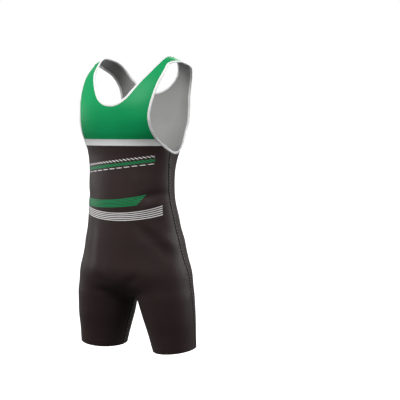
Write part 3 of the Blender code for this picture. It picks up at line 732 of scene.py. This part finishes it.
def body(side, armhole):
    """Half a body panel: torso, crotch and leg in one cut, from the band down to the hem."""
    top = BAND_BOTTOM[side]
    share = body_shares(side, armhole, top)
    top_z = body_top(side, armhole, top, share)
    upper = np.linspace(0.0, 1.0, ROWS_ABOVE_COMMON + 1)[:-1, None]
    z_upper = top_z + (COMMON_ROW_HEIGHT - top_z) * upper
    z_level = np.linspace(COMMON_ROW_HEIGHT, CROTCH_BASE, TORSO_ROWS - ROWS_ABOVE_COMMON + 1)
    z_torso = np.vstack([z_upper, np.broadcast_to(z_level[:, None], (len(z_level), BODY_COLUMNS + 1))])

    origins = centre_line(z_torso[:, 0])
    origins[:, 0] = 0.0
    centre = hit(origins, [0.0, FORWARD[side], 0.0])
    crotch = crotch_point()
    under = crotch_line(side, crotch)
    side_z = np.linspace(CROTCH_BASE, crotch[2] + CROTCH_SIDE_LIFT, CROTCH_ROWS + 1)[1:, None]
    across = ease(np.linspace(0.0, 1.0, BODY_COLUMNS + 1))
    z_crotch = under[:, 2:] + (side_z - under[:, 2:]) * across

    z = np.vstack([z_torso, z_crotch])
    middle = np.vstack([centre, under])
    first = turn_to(middle)
    if side == "back":
        first = first % 360.0
    trunk = panel_rows(z, first, share)
    trunk[:, 0] = middle

    inseam = INSEAM_TURN[side]
    down = np.linspace(0.0, 1.0, LEG_ROWS + 1)[1:, None]
    z_leg = z[-1] + (hem_heights(inseam, share) - z[-1]) * down
    first_leg = first[-1] + (inseam - first[-1]) * ease(down[:, 0] / INSEAM_SETTLES)
    return np.vstack([trunk, panel_rows(z_leg, first_leg, share)])


def fold_height(points, folds):
    """Sum of soft folds: each is a bell exp(-(d/w)^2) across its line, eased to nothing at both ends."""
    height = np.zeros(points.shape[:-1])
    for x0, z0, x1, z1, width, rise in zip(*folds.values()):
        along = np.array([x1 - x0, z1 - z0])
        length = np.linalg.norm(along)
        along = along / length
        offset = points[..., [0, 2]] - np.array([x0, z0])
        share = offset @ along / length
        across = offset @ np.array([-along[1], along[0]])
        fade = ease(share / FOLD_FADE) * ease((1 - share) / FOLD_FADE)
        height = height + rise * fade * np.exp(-((across / width) ** 2))
    return height


def draped(points):
    """Points of the figure moved out or in by the cloth's folds, and the figure's normals there."""
    normals = outward(points)
    front = ease(-normals[..., 1] / FACING)
    back = ease(normals[..., 1] / FACING)
    height = front * fold_height(points, FRONT_FOLDS) + back * fold_height(points, BACK_FOLDS)
    return points + height[..., None] * normals, normals


def mirrored(points):
    """The same points on the other side of the middle plane."""
    return points * np.array([-1.0, 1.0, 1.0])


def grid_faces(index):
    """Faces of a grid of point numbers."""
    corners = [index[:-1, :-1], index[:-1, 1:], index[1:, 1:], index[1:, :-1]]
    return np.stack(corners, axis=-1).reshape(-1, 4)


def rim_faces(outer, inner):
    """Faces that join a line of outer points to the same line inside."""
    return np.stack([outer[:-1], inner[:-1], inner[1:], outer[1:]], axis=-1)


def half_shell(grid, outer, inner):
    """Skins and rims of half a panel from its point numbers: faces, and 1 for each that faces inwards."""
    normal = outward(grid[:2, :3])[0, 1]
    span = np.cross(grid[1, 1] - grid[0, 1], grid[0, 2] - grid[0, 1])
    turned = bool(np.dot(span, normal) < 0)
    rims = [
        rim_faces(outer[0], inner[0]),
        rim_faces(outer[-1], inner[-1])[:, ::-1],
        rim_faces(outer[:, -1], inner[:, -1]),
    ]
    off_plane = np.abs(grid[:, 0, 0]) > PROBE
    open_edge = np.nonzero(off_plane[:-1] | off_plane[1:])[0]
    edge = rim_faces(outer[:, 0], inner[:, 0])[open_edge][:, ::-1]
    faces = [grid_faces(outer)[:, ::-1], grid_faces(inner), *rims, edge]
    inside = [np.full(len(part), k == 1) for k, part in enumerate(faces)]
    faces = np.vstack(faces)
    return (faces[:, ::-1] if turned else faces), np.concatenate(inside)


def across_lengths(grid):
    """Distance of every point from its row's first, along the row."""
    steps = np.linalg.norm(np.diff(grid, axis=1), axis=-1)
    return np.concatenate([np.zeros((len(grid), 1)), np.cumsum(steps, axis=1)], axis=1)


def whole_panel(grid, v):
    """Both halves of a panel: points, faces, which faces are inside, and every corner's own (u, v)."""
    rows, columns = grid.shape[:2]
    count = rows * columns
    index = np.arange(count).reshape(rows, columns)
    on_plane = np.abs(grid[:, 0, 0]) < ON_MIDDLE_PLANE
    points, faces, inside, cloth = [], [], [], []
    u = across_lengths(grid)
    for side, half in enumerate((grid, mirrored(grid))):
        outer_points, normals = draped(half)
        outer = index + 2 * count * side
        inner = outer + count
        if side:
            outer[:, 0] = np.where(on_plane, index[:, 0], outer[:, 0])
            inner[:, 0] = np.where(on_plane, index[:, 0] + count, inner[:, 0])
        half_faces, half_inside = half_shell(half, outer, inner)
        points += [outer_points.reshape(-1, 3), (outer_points - SHELL * normals).reshape(-1, 3)]
        faces.append(half_faces)
        inside.append(half_inside)
        flat = np.stack([-u if side else u, v], axis=-1).reshape(-1, 2)
        cloth += [flat, flat]
    faces = np.vstack(faces)
    used, renumbered = np.unique(faces, return_inverse=True)
    corners = np.vstack(cloth)[faces].reshape(-1, 2)
    return np.vstack(points)[used], renumbered.reshape(faces.shape), np.concatenate(inside), corners


def make_piece(name, points, faces, materials, worn=None, cloth=None, creased=True):
    """A smooth mesh object from points and faces, with its finishes and the cloth's own map."""
    mesh = bpy.data.meshes.new(name)
    mesh.from_pydata(points.tolist(), [], [list(face) for face in faces])
    for finish in materials:
        mesh.materials.append(finish)
    if worn is not None:
        mesh.polygons.foreach_set("material_index", worn.astype(np.int32))
    if cloth is not None:
        layer = mesh.uv_layers.new(name="cloth")
        layer.data.foreach_set("uv", cloth.astype(np.float32).ravel())
    mesh.polygons.foreach_set("use_smooth", np.ones(len(mesh.polygons), dtype=bool))
    if creased:
        mesh.set_sharp_from_angle(angle=SHARP_ANGLE)
    mesh.update()
    piece = bpy.data.objects.new(name, mesh)
    bpy.context.scene.collection.objects.link(piece)
    return piece


def swept(line, normals, section, closed):
    """A section carried along a line, across it and up its normals: points, faces, corners' (u, v)."""
    section = np.array(section)
    sideways = unit(np.cross(normals, tangents(line, closed)))
    across, up = section.T
    rings = (line[:, None] + across[None, :, None] * sideways[:, None]
             + up[None, :, None] * normals[:, None])
    count, sides = rings.shape[:2]
    index = np.arange(count * sides).reshape(count, sides)
    index = np.hstack([index, index[:, :1]])
    if closed:
        index = np.vstack([index, index[:1]])
    faces = grid_faces(index)[:, ::-1]
    lengths = lengths_along(looped(line) if closed else line)
    around = lengths_along(looped(section))
    cloth = np.stack(np.broadcast_arrays(around[None, :], lengths[:, None]), axis=-1)
    unrolled = np.arange(len(lengths) * (sides + 1)).reshape(len(lengths), sides + 1)
    return rings.reshape(-1, 3), faces, cloth.reshape(-1, 2)[grid_faces(unrolled)[:, ::-1]].reshape(-1, 2)


def end_caps(line_count, sides):
    """Faces that close the two ends of an open sweep, as fans of triangles."""
    first = np.arange(sides)
    last = first + (line_count - 1) * sides
    fan = np.stack([np.zeros(sides - 2, dtype=int), np.arange(1, sides - 1), np.arange(2, sides)], axis=-1)
    return np.vstack([first[fan], last[fan][:, ::-1]])


def stitch_shape(stitch):
    """One stitch lying along x: rings of an ellipse that closes at both ends."""
    around = np.linspace(0.0, 2 * np.pi, STITCH_SIDES, endpoint=False)
    rings = [xyz(along, girth * np.cos(around), girth * np.sin(around)) for along, girth in STITCH_RINGS]
    points = np.vstack([*rings, [[-1.0, 0.0, 0.0], [1.0, 0.0, 0.0]]])
    index = np.arange(len(points) - 2).reshape(-1, STITCH_SIDES)
    index = np.hstack([index, index[:, :1]])
    first, last = index[0], index[-1]
    tip = np.full(STITCH_SIDES, len(points) - 2)
    ends = [
        np.stack([tip, first[:-1], first[1:], first[1:]], axis=-1),
        np.stack([tip + 1, last[1:], last[:-1], last[:-1]], axis=-1),
    ]
    sides = np.roll(grid_faces(index)[:, ::-1], 1, axis=1)
    size = [stitch["half_length"], stitch["half_width"], stitch["height"]]
    return points * size, np.vstack([sides, *ends])


def stitch_row(line, normals, stitch):
    """Stitches evenly spaced along a line that lies on the cloth."""
    lengths = lengths_along(line)
    count = max(int(lengths[-1] / stitch["pitch"]), 1)
    middles = (np.arange(count) + 0.5) * lengths[-1] / count
    reach = stitch["half_length"]
    ahead, behind = (read_along(lengths, line, middles + step) for step in (reach, -reach))
    tangent = unit(ahead - behind)
    sideways = unit(np.cross(read_along(lengths, normals, middles), tangent))
    up = np.cross(tangent, sideways)
    shape, shape_faces = stitch_shape(stitch)
    middle = read_along(lengths, line, middles)
    points = middle[:, None] + shape @ np.stack([tangent, sideways, up], axis=1)
    faces = shape_faces[None] + (np.arange(count) * len(shape))[:, None, None]
    return points.reshape(-1, 3), faces.reshape(-1, 4)


def gathered(parts):
    """Several lots of points and faces as one."""
    points, faces, offset = [], [], 0
    for part_points, part_faces in parts:
        points.append(part_points)
        faces.append(part_faces + offset)
        offset += len(part_points)
    return np.vstack(points), np.vstack(faces)


def as_faces(corners):
    """Face lists with doubled corners dropped, so that a triangle kept as four numbers is one."""
    return [list(dict.fromkeys(face)) for face in corners.tolist()]


def make_stitches(name, rows, finish):
    """One piece of thread from many rows of stitches."""
    points, faces = gathered(rows)
    piece = make_piece(name, points, as_faces(faces), [finish], creased=False)
    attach(piece, "root")


def merged_edges(*pieces):
    """Lines of edge points end to end, with one point for each pair that meets at a seam."""
    line = pieces[0]
    for piece in pieces[1:]:
        meeting = settle(((line[-1] + piece[0]) / 2)[None])
        line = np.vstack([line[:-1], meeting, piece[1:]])
    return line


def shifted(line, normals, across, up, closed):
    """A line moved sideways along the cloth and up from it."""
    return line + across * np.cross(normals, tangents(line, closed)) + up * normals


def maths(operation, turned=False):
    """A method that joins a socket and other values in one math node, the others first if turned."""
    def method(self, *others):
        terms = (*others, self) if turned else (self, *others)
        return self.finish.node("ShaderNodeMath", {"operation": operation}, dict(enumerate(terms)))

    return method


class Socket:
    """A value in a material: sums of sockets and numbers are written as Python expressions."""

    __add__ = __radd__ = maths("ADD")
    __mul__ = __rmul__ = maths("MULTIPLY")
    __sub__ = maths("SUBTRACT")
    __rsub__ = maths("SUBTRACT", turned=True)
    __truediv__ = maths("DIVIDE")
    __abs__ = maths("ABSOLUTE")
    fraction = maths("FRACT")
    sine = maths("SINE")

    def __init__(self, finish, socket):
        self.finish = finish
        self.socket = socket

    def clamped(self):
        return self.finish.node("ShaderNodeClamp", {}, {"Value": self})

    def edge(self, softness):
        """0 well below zero and 1 well above it, with a soft edge."""
        return (self / softness + 0.5).clamped()


class Finish:
    """A procedural material, or the world's surrounding, built node by node."""

    def __init__(self, name, library=bpy.data.materials, shader="Principled BSDF"):
        self.material = library.new(name)
        self.material.use_nodes = True
        self.tree = self.material.node_tree
        self.shader = self.tree.nodes[shader]

    def node(self, kind, settings=None, inputs=None, output=0):
        """Any node: its type, its settings, and the values or links of its sockets."""
        made = self.tree.nodes.new(kind)
        for name, value in (settings or {}).items():
            setattr(made, name, value)
        for name, value in (inputs or {}).items():
            if isinstance(value, Socket):
                self.tree.links.new(value.socket, made.inputs[name])
            else:
                made.inputs[name].default_value = value
        return Socket(self, made.outputs[output])

    def mix(self, factor, first, second):
        """One colour turned into another by a factor."""
        inputs = {0: factor, 6: rgba(first), 7: rgba(second)}
        return self.node("ShaderNodeMix", {"data_type": "RGBA"}, inputs, output=2)

    def noise(self, scale, detail):
        """Cloudy values from 0 to 1 on the object's own coordinates."""
        place = self.node("ShaderNodeTexCoord", output=3)
        return self.node("ShaderNodeTexNoise", {}, {"Vector": place, "Scale": scale, "Detail": detail})

    def cloth_map(self):
        """The cloth's own map: metres across and metres along."""
        place = self.node("ShaderNodeUVMap", {"uv_map": "cloth"})
        across = self.node("ShaderNodeSeparateXYZ", {}, {0: place})
        return across, Socket(self, across.socket.node.outputs[1])

    def bump(self, height, distance, strength, under=None):
        """A bump of a given depth, which may lie on another one."""
        inputs = {"Height": height, "Distance": distance, "Strength": strength}
        if under is not None:
            inputs["Normal"] = under
        return self.node("ShaderNodeBump", {}, inputs)

    def set(self, **values):
        """Plain values of the shader's own sockets."""
        for name, value in values.items():
            self.shader.inputs[name.replace("_", " ")].default_value = value

    def join(self, **links):
        """Links into the shader's sockets."""
        for name, link in links.items():
            self.tree.links.new(link.socket, self.shader.inputs[name.replace("_", " ")])


def rgba(colour):
    """A colour with its alpha, or a link as it is."""
    return colour if isinstance(colour, Socket) else (*colour, 1.0)


def knit_height(u, v, wale, course):
    """Loops of a knit: ribs |sin(pi u / wale)| along the cloth, broken by the courses."""
    ribs = abs((u * (math.pi / wale)).sine())
    rows = (v * (2 * math.pi / course) + ribs * LOOP_SWAY).sine()
    return ribs * RIB_SHARE + rows * (1 - RIB_SHARE)


def curve_of(u, level, slope, bend):
    """A shallow curve across the cloth: level + slope u + bend u^2."""
    return u * u * bend + u * slope + level


def stripe_mask(u, v, stripe):
    """Parallel lines between two shallow curves, a line at either edge, with ends that may lean."""
    top = curve_of(u, *stripe["top"])
    bottom = curve_of(u, *stripe["bottom"])
    share = (v - bottom) / (top - bottom)
    duty = stripe["duty"]
    lines = abs((share * (stripe["lines"] - 1 + duty) + (1 - duty) / 2).fraction() - 0.5)
    on_line = (duty / 2 - lines).edge(LINE_SOFTNESS)
    in_height = (share * (1 - share)).edge(BLOCK_SOFTNESS)
    left = (u - stripe["left"]).edge(END_SOFTNESS)
    right = (stripe["right"] + share * stripe["right_lean"] - u).edge(END_SOFTNESS)
    return on_line * in_height * left * right


def dash_mask(u, v, side, dashes):
    """A row of short slanted dashes along a straight line that slopes up."""
    off = v - (u * DASH_SLOPE + (DASH_LEVEL[side] - dashes["drop"]))
    in_row = (dashes["half_height"] - abs(off)).edge(EDGE_SOFTNESS)
    place = ((u + off * DASH_SLANT) / dashes["pitch"]).fraction()
    on_dash = (dashes["duty"] / 2 - abs(place - 0.5)).edge(LINE_SOFTNESS)
    ends = (DASH_HALF_WIDTH[side] - abs(u - DASH_CENTRE)).edge(END_SOFTNESS)
    return in_row * on_dash * ends


def printed(finish, u, v, side, shade):
    """A panel's colour with its stripes and dashes printed over it."""
    for row in STRIPES[side]:
        stripe = dict(zip(STRIPE_COLUMNS, row))
        shade = finish.mix(stripe_mask(u, v, stripe), shade, PRINT_COLOURS[stripe["colour"]])
    for row in DASHES:
        dashes = dict(zip(DASH_COLUMNS, row))
        shade = finish.mix(dash_mask(u, v, side, dashes), shade, PRINT_COLOURS[dashes["colour"]])
    return shade


def knit(name, side=None):
    """Stretch knit: fine loops, a slightly cloudy colour, a soft sheen, and the print of its side."""
    look = dict(zip(KNIT_COLUMNS, KNITS[name]))
    colour = look["colour"]
    finish = Finish(name)
    u, v = finish.cloth_map()
    cloudy = finish.noise(*CLOUDS)
    mottled = cloudy * CLOUD_SHARE + finish.noise(*GRAIN) * (1 - CLOUD_SHARE)
    dark = tuple(KNIT_DARKEST * part for part in colour)
    light = tuple(min(KNIT_LIGHTEST * part, 1.0) for part in colour)
    shade = finish.mix(mottled.clamped(), dark, light)
    if side:
        shade = printed(finish, u, v, side, shade)
    loops = finish.bump(knit_height(u, v, look["wale"], look["course"]), look["depth"], LOOP_STRENGTH)
    uneven = finish.bump(finish.noise(*UNEVENNESS), UNEVEN_DEPTH, BUMP_STRENGTH, under=loops)
    finish.set(
        Sheen_Weight=look["sheen"],
        Sheen_Roughness=KNIT_SHEEN_ROUGHNESS,
        Sheen_Tint=(*(0.5 + 0.5 * part for part in colour), 1.0),
        Specular_IOR_Level=look["shine"],
    )
    rough = cloudy * KNIT_ROUGHNESS_SPAN + (look["roughness"] - KNIT_ROUGHNESS_SPAN / 2)
    finish.join(Base_Color=shade, Roughness=rough, Normal=uneven)
    return finish.material


def thread(colour):
    """Sewing thread: a plain colour that varies a little, with a fine twist."""
    finish = Finish(colour + "_thread")
    grain = finish.noise(*THREAD_GRAIN)
    finish.set(Sheen_Weight=THREAD_SHEEN, Sheen_Roughness=THREAD_SHEEN_ROUGHNESS)
    dark = tuple(THREAD_DARKEST * part for part in THREADS[colour])
    finish.join(
        Base_Color=finish.mix(grain, dark, THREADS[colour]),
        Roughness=grain * THREAD_ROUGHNESS_SPAN + THREAD_ROUGHNESS,
        Normal=finish.bump(grain, THREAD_DEPTH, BUMP_STRENGTH),
    )
    return finish.material


def studio_floor():
    """A plain pale floor, far below the suit, which throws no light back at it."""
    finish = Finish("pale_floor")
    finish.set(Roughness=FLOOR_ROUGHNESS)
    finish.set(Emission_Color=(1.0, 1.0, 1.0, 1.0), Emission_Strength=FLOOR_GLOW)
    finish.join(Base_Color=finish.mix(finish.noise(*FLOOR_NOISE), *FLOOR_SHADES))
    corners = np.array([[-1, -1, 0], [1, -1, 0], [1, 1, 0], [-1, 1, 0]]) * FLOOR_REACH
    corners = corners + np.array([0.0, 0.0, FLOOR_HEIGHT])
    floor = make_piece("floor", corners, np.array([[0, 1, 2, 3]]), [finish.material])
    floor.visible_diffuse = False
    floor.visible_glossy = False


def round_the_suit(azimuth, elevation, distance):
    """A place seen from the suit's middle: azimuth 0 is in front, 90 on its left."""
    a, e = math.radians(azimuth), math.radians(elevation)
    away = Vector((math.sin(a) * math.cos(e), -math.cos(a) * math.cos(e), math.sin(e)))
    return Vector(SUIT_MIDDLE) + away * distance


def studio_lights():
    """Large soft lights round the suit and an even pale surrounding."""
    for name, (azimuth, elevation, distance, size, power, colour) in LIGHTS.items():
        data = bpy.data.lights.new(name, "AREA")
        data.shape = "SQUARE"
        data.size = size
        data.energy = power
        data.color = colour
        lamp = bpy.data.objects.new(name, data)
        lamp.location = round_the_suit(azimuth, elevation, distance)
        lamp.rotation_mode = "QUATERNION"
        lamp.rotation_quaternion = (lamp.location - Vector(SUIT_MIDDLE)).to_track_quat("Z", "Y")
        bpy.context.scene.collection.objects.link(lamp)
    world = Finish("pale_surrounding", bpy.data.worlds, "Background")
    height = world.node("ShaderNodeSeparateXYZ", {}, {0: world.node("ShaderNodeTexCoord")}, output=2)
    light = world.node("ShaderNodeMapRange", {}, {
        "Value": height,
        "From Min": -WORLD_LIGHT_SPAN,
        "From Max": WORLD_LIGHT_SPAN,
        "To Min": WORLD_LIGHT_BELOW,
        "To Max": WORLD_LIGHT_ABOVE,
    })
    to_camera = world.node("ShaderNodeLightPath")
    world.set(Color=(1.0, 1.0, 1.0, 1.0))
    world.join(Strength=world.node("ShaderNodeMapRange", {}, {
        "Value": to_camera,
        "To Min": light,
        "To Max": WORLD_SHOWN,
    }))
    bpy.context.scene.world = world.material
    bpy.context.scene.view_settings.view_transform = "Standard"


def studio_camera():
    """The photograph's view, from level with the chest, with the suit to the left of the middle."""
    right = Vector((math.cos(CAMERA_AZIMUTH), math.sin(CAMERA_AZIMUTH), 0.0))
    back = Vector((math.sin(CAMERA_AZIMUTH), -math.cos(CAMERA_AZIMUTH), 0.0))
    data = bpy.data.cameras.new("photo_camera")
    data.lens = CAMERA_LENS
    data.shift_y = -CAMERA_SHIFT_DOWN
    camera = bpy.data.objects.new("photo_camera", data)
    camera.location = back * CAMERA_DISTANCE + Vector((0.0, 0.0, CAMERA_HEIGHT))
    level = -back * math.cos(CAMERA_TURN) + right * math.sin(CAMERA_TURN)
    aim = level * math.cos(CAMERA_TILT) - Vector((0.0, 0.0, math.sin(CAMERA_TILT)))
    camera.rotation_mode = "QUATERNION"
    camera.rotation_quaternion = aim.to_track_quat("-Z", "Y")
    bpy.context.scene.collection.objects.link(camera)
    bpy.context.scene.camera = camera


def cut_of(grid):
    """The flat cut of a panel: twice its longest row, its longest column and its area, unstretched."""
    width = 2 * float(across_lengths(grid)[:, -1].max()) / STRETCH_ACROSS
    length = float(across_lengths(grid.swapaxes(0, 1))[:, -1].max()) / STRETCH_ALONG
    one = np.cross(grid[1:, :-1] - grid[:-1, :-1], grid[:-1, 1:] - grid[:-1, :-1])
    other = np.cross(grid[1:, :-1] - grid[1:, 1:], grid[:-1, 1:] - grid[1:, 1:])
    area = float(np.linalg.norm(one, axis=-1).sum() + np.linalg.norm(other, axis=-1).sum())
    return width, length, area / (STRETCH_ACROSS * STRETCH_ALONG)


def declare_cloth(piece, flat, area, node):
    """A cloth piece rides on the suit's one body and stands for its plain solid."""
    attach(piece, "root")
    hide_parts(node)
    print(f"cut {node}: {flat[0]:.3f} by {flat[1]:.3f} m, area {area:.4f} square metres")


def make_panels(grids, finishes, pale):
    """The six panels, each coloured outside and pale inside."""
    for node, grid in grids.items():
        if node.endswith("body"):
            v = grid[..., 2]
        else:
            v = across_lengths(grid.swapaxes(0, 1)).swapaxes(0, 1)
        points, faces, inside, cloth = whole_panel(grid, v)
        piece = make_piece(node + "_cloth", points, faces, [finishes[node], pale], inside, cloth)
        width, length, area = cut_of(grid)
        declare_cloth(piece, (width, length), min(area, width * length), node)


def neck_line(grids):
    """The neckline's edge points, all round, one for each place."""
    front = grids["front_yoke"][YOKE_CENTRE_ROWS:, 0]
    back = grids["back_yoke"][YOKE_CENTRE_ROWS:, 0][::-1]
    left = merged_edges(front, back)
    right = mirrored(left)[::-1]
    return np.vstack([left, right[1:-1]])


def arm_line(grids):
    """The left armhole's edge points, all round, one for each place."""
    front, back = BODY_CORNER_COLUMN["front"], BODY_CORNER_COLUMN["back"]
    line = merged_edges(
        grids["front_yoke"][:, -1][::-1],
        grids["front_band"][:, -1],
        grids["front_body"][0, front:],
        grids["back_body"][0, back:][::-1],
        grids["back_band"][:, -1][::-1],
        grids["back_yoke"][:, -1],
    )
    meeting = settle(((line[0] + line[-1]) / 2)[None])
    return np.vstack([meeting, line[1:-1]])


def even_line(line):
    """A closed line of edge points as a smooth, evenly divided curve on the figure."""
    length = lengths_along(looped(line))[-1]
    return settle(closed_curve(line, int(length / BINDING_STEP)))


def make_bindings(grids, white, white_thread):
    """Folded strips along the neckline and the armholes, each with a row of stitches on both faces."""
    arm = even_line(arm_line(grids))
    lines = {
        "neck_binding": even_line(neck_line(grids)),
        "armhole_binding_left": arm,
        "armhole_binding_right": mirrored(arm)[::-1],
    }
    for node, line in lines.items():
        points, normals = draped(line)
        strip, faces, cloth = swept(points, normals, BINDING_SECTION, True)
        piece = make_piece(node + "_cloth", strip, faces, [white], None, cloth)
        length = float(lengths_along(looped(line))[-1]) / STRETCH_ALONG
        width = 2 * BINDING_WIDTH
        declare_cloth(piece, (width, length), width * length, node)
        rows = []
        for up in (BINDING_STITCH_PROUD, BINDING_STITCH_UNDER):
            row = looped(shifted(points, normals, BINDING_STITCH_AWAY, up, True))
            rows.append(stitch_row(row, looped(normals), FINE_STITCH))
        make_stitches(node + "_stitches", rows, white_thread)


def make_flat_seam(name, line, finish, thread_finish):
    """A flat seam: a low ridged strip in painted groove shade over the join, stitched along its rear
    ridge.
    """
    points, normals = draped(line)
    strip, faces, cloth = swept(points, normals, SEAM_SECTION, False)
    caps = end_caps(len(line), len(SEAM_SECTION))
    cloth = np.vstack([cloth, np.zeros((caps.size, 2))])
    piece = make_piece(name, strip, faces.tolist() + caps.tolist(), [finish], None, cloth)
    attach(piece, "root")
    row = shifted(points, normals, SEAM_STITCH_ACROSS, SEAM_STITCH_LIFT, False)
    make_stitches(name + "_stitches", [stitch_row(row, normals, SEAM_STITCH)], thread_finish)


def make_seams(grids, finish, thread_finish):
    """The side seams and the inseams, where the front and back bodies meet."""
    front, back = grids["front_body"], grids["back_body"]
    trunk = len(front) - LEG_ROWS
    lines = {
        "side_seam": settle((front[:, -1] + back[:, -1]) / 2),
        "inseam": settle((front[trunk:, 0] + back[trunk:, 0]) / 2),
    }
    for name, line in lines.items():
        make_flat_seam(name + "_left", line, finish, thread_finish)
        make_flat_seam(name + "_right", mirrored(line), finish, thread_finish)


def above_hem(grid, distance):
    """The line that lies a distance above a leg's hem, measured up along each column."""
    columns = grid[::-1].swapaxes(0, 1)
    return settle(np.array([read_along(lengths_along(line), line, distance) for line in columns]))


def both_sides(line):
    """A row of fine stitches on a line and on its mirror image."""
    rows = []
    for half in (line, mirrored(line)):
        points, normals = draped(half)
        rows.append(stitch_row(points + FINE_STITCH_LIFT * normals, normals, FINE_STITCH))
    return rows


def make_sewing(grids, white_thread, black_thread):
    """Stitch rows along the bands' edges and above the hems."""
    rows = []
    for side in ("front", "back"):
        strip = grids[side + "_band"]
        inset = BAND_STITCH_IN / (BAND_TOP[side] - BAND_BOTTOM[side])
        for share in (inset, 1 - inset):
            row = share * BAND_ROWS
            low = int(row)
            line = strip[low] + (strip[low + 1] - strip[low]) * (row - low)
            rows += both_sides(settle(line))
    make_stitches("band_stitches", rows, white_thread)
    rows = []
    for side in ("front", "back"):
        for distance in HEM_STITCH_HEIGHTS:
            rows += both_sides(above_hem(grids[side + "_body"], distance))
    make_stitches("hem_stitches", rows, black_thread)


def main():
    """Makes the camera and the studio, then every piece of the suit."""
    studio_camera()
    studio_lights()
    studio_floor()

    armholes = split_armhole(armhole_seam())
    necks = split_neck(neck_seam())
    grids = {}
    for side in ("front", "back"):
        grids[side + "_yoke"] = yoke(side, necks[side], armholes[side])
        grids[side + "_band"] = band(side, armholes[side])
        grids[side + "_body"] = body(side, armholes[side])

    green = knit("green_satin_knit")
    white = knit("white_knit")
    pale = knit("pale_inside")
    finishes = {
        "front_yoke": green,
        "back_yoke": green,
        "front_band": white,
        "back_band": white,
        "front_body": knit("black_knit_front", "front"),
        "back_body": knit("black_knit_back", "back"),
    }
    make_panels(grids, finishes, pale)
    binding_white = knit("binding_knit")
    white_thread = thread("white")
    make_bindings(grids, binding_white, white_thread)
    # The seam strips' cloth is black with painted groove shade.
    make_seams(grids, knit("seam_cloth_and_groove_shade"), thread("grey"))
    make_sewing(grids, white_thread, thread("black"))


main()
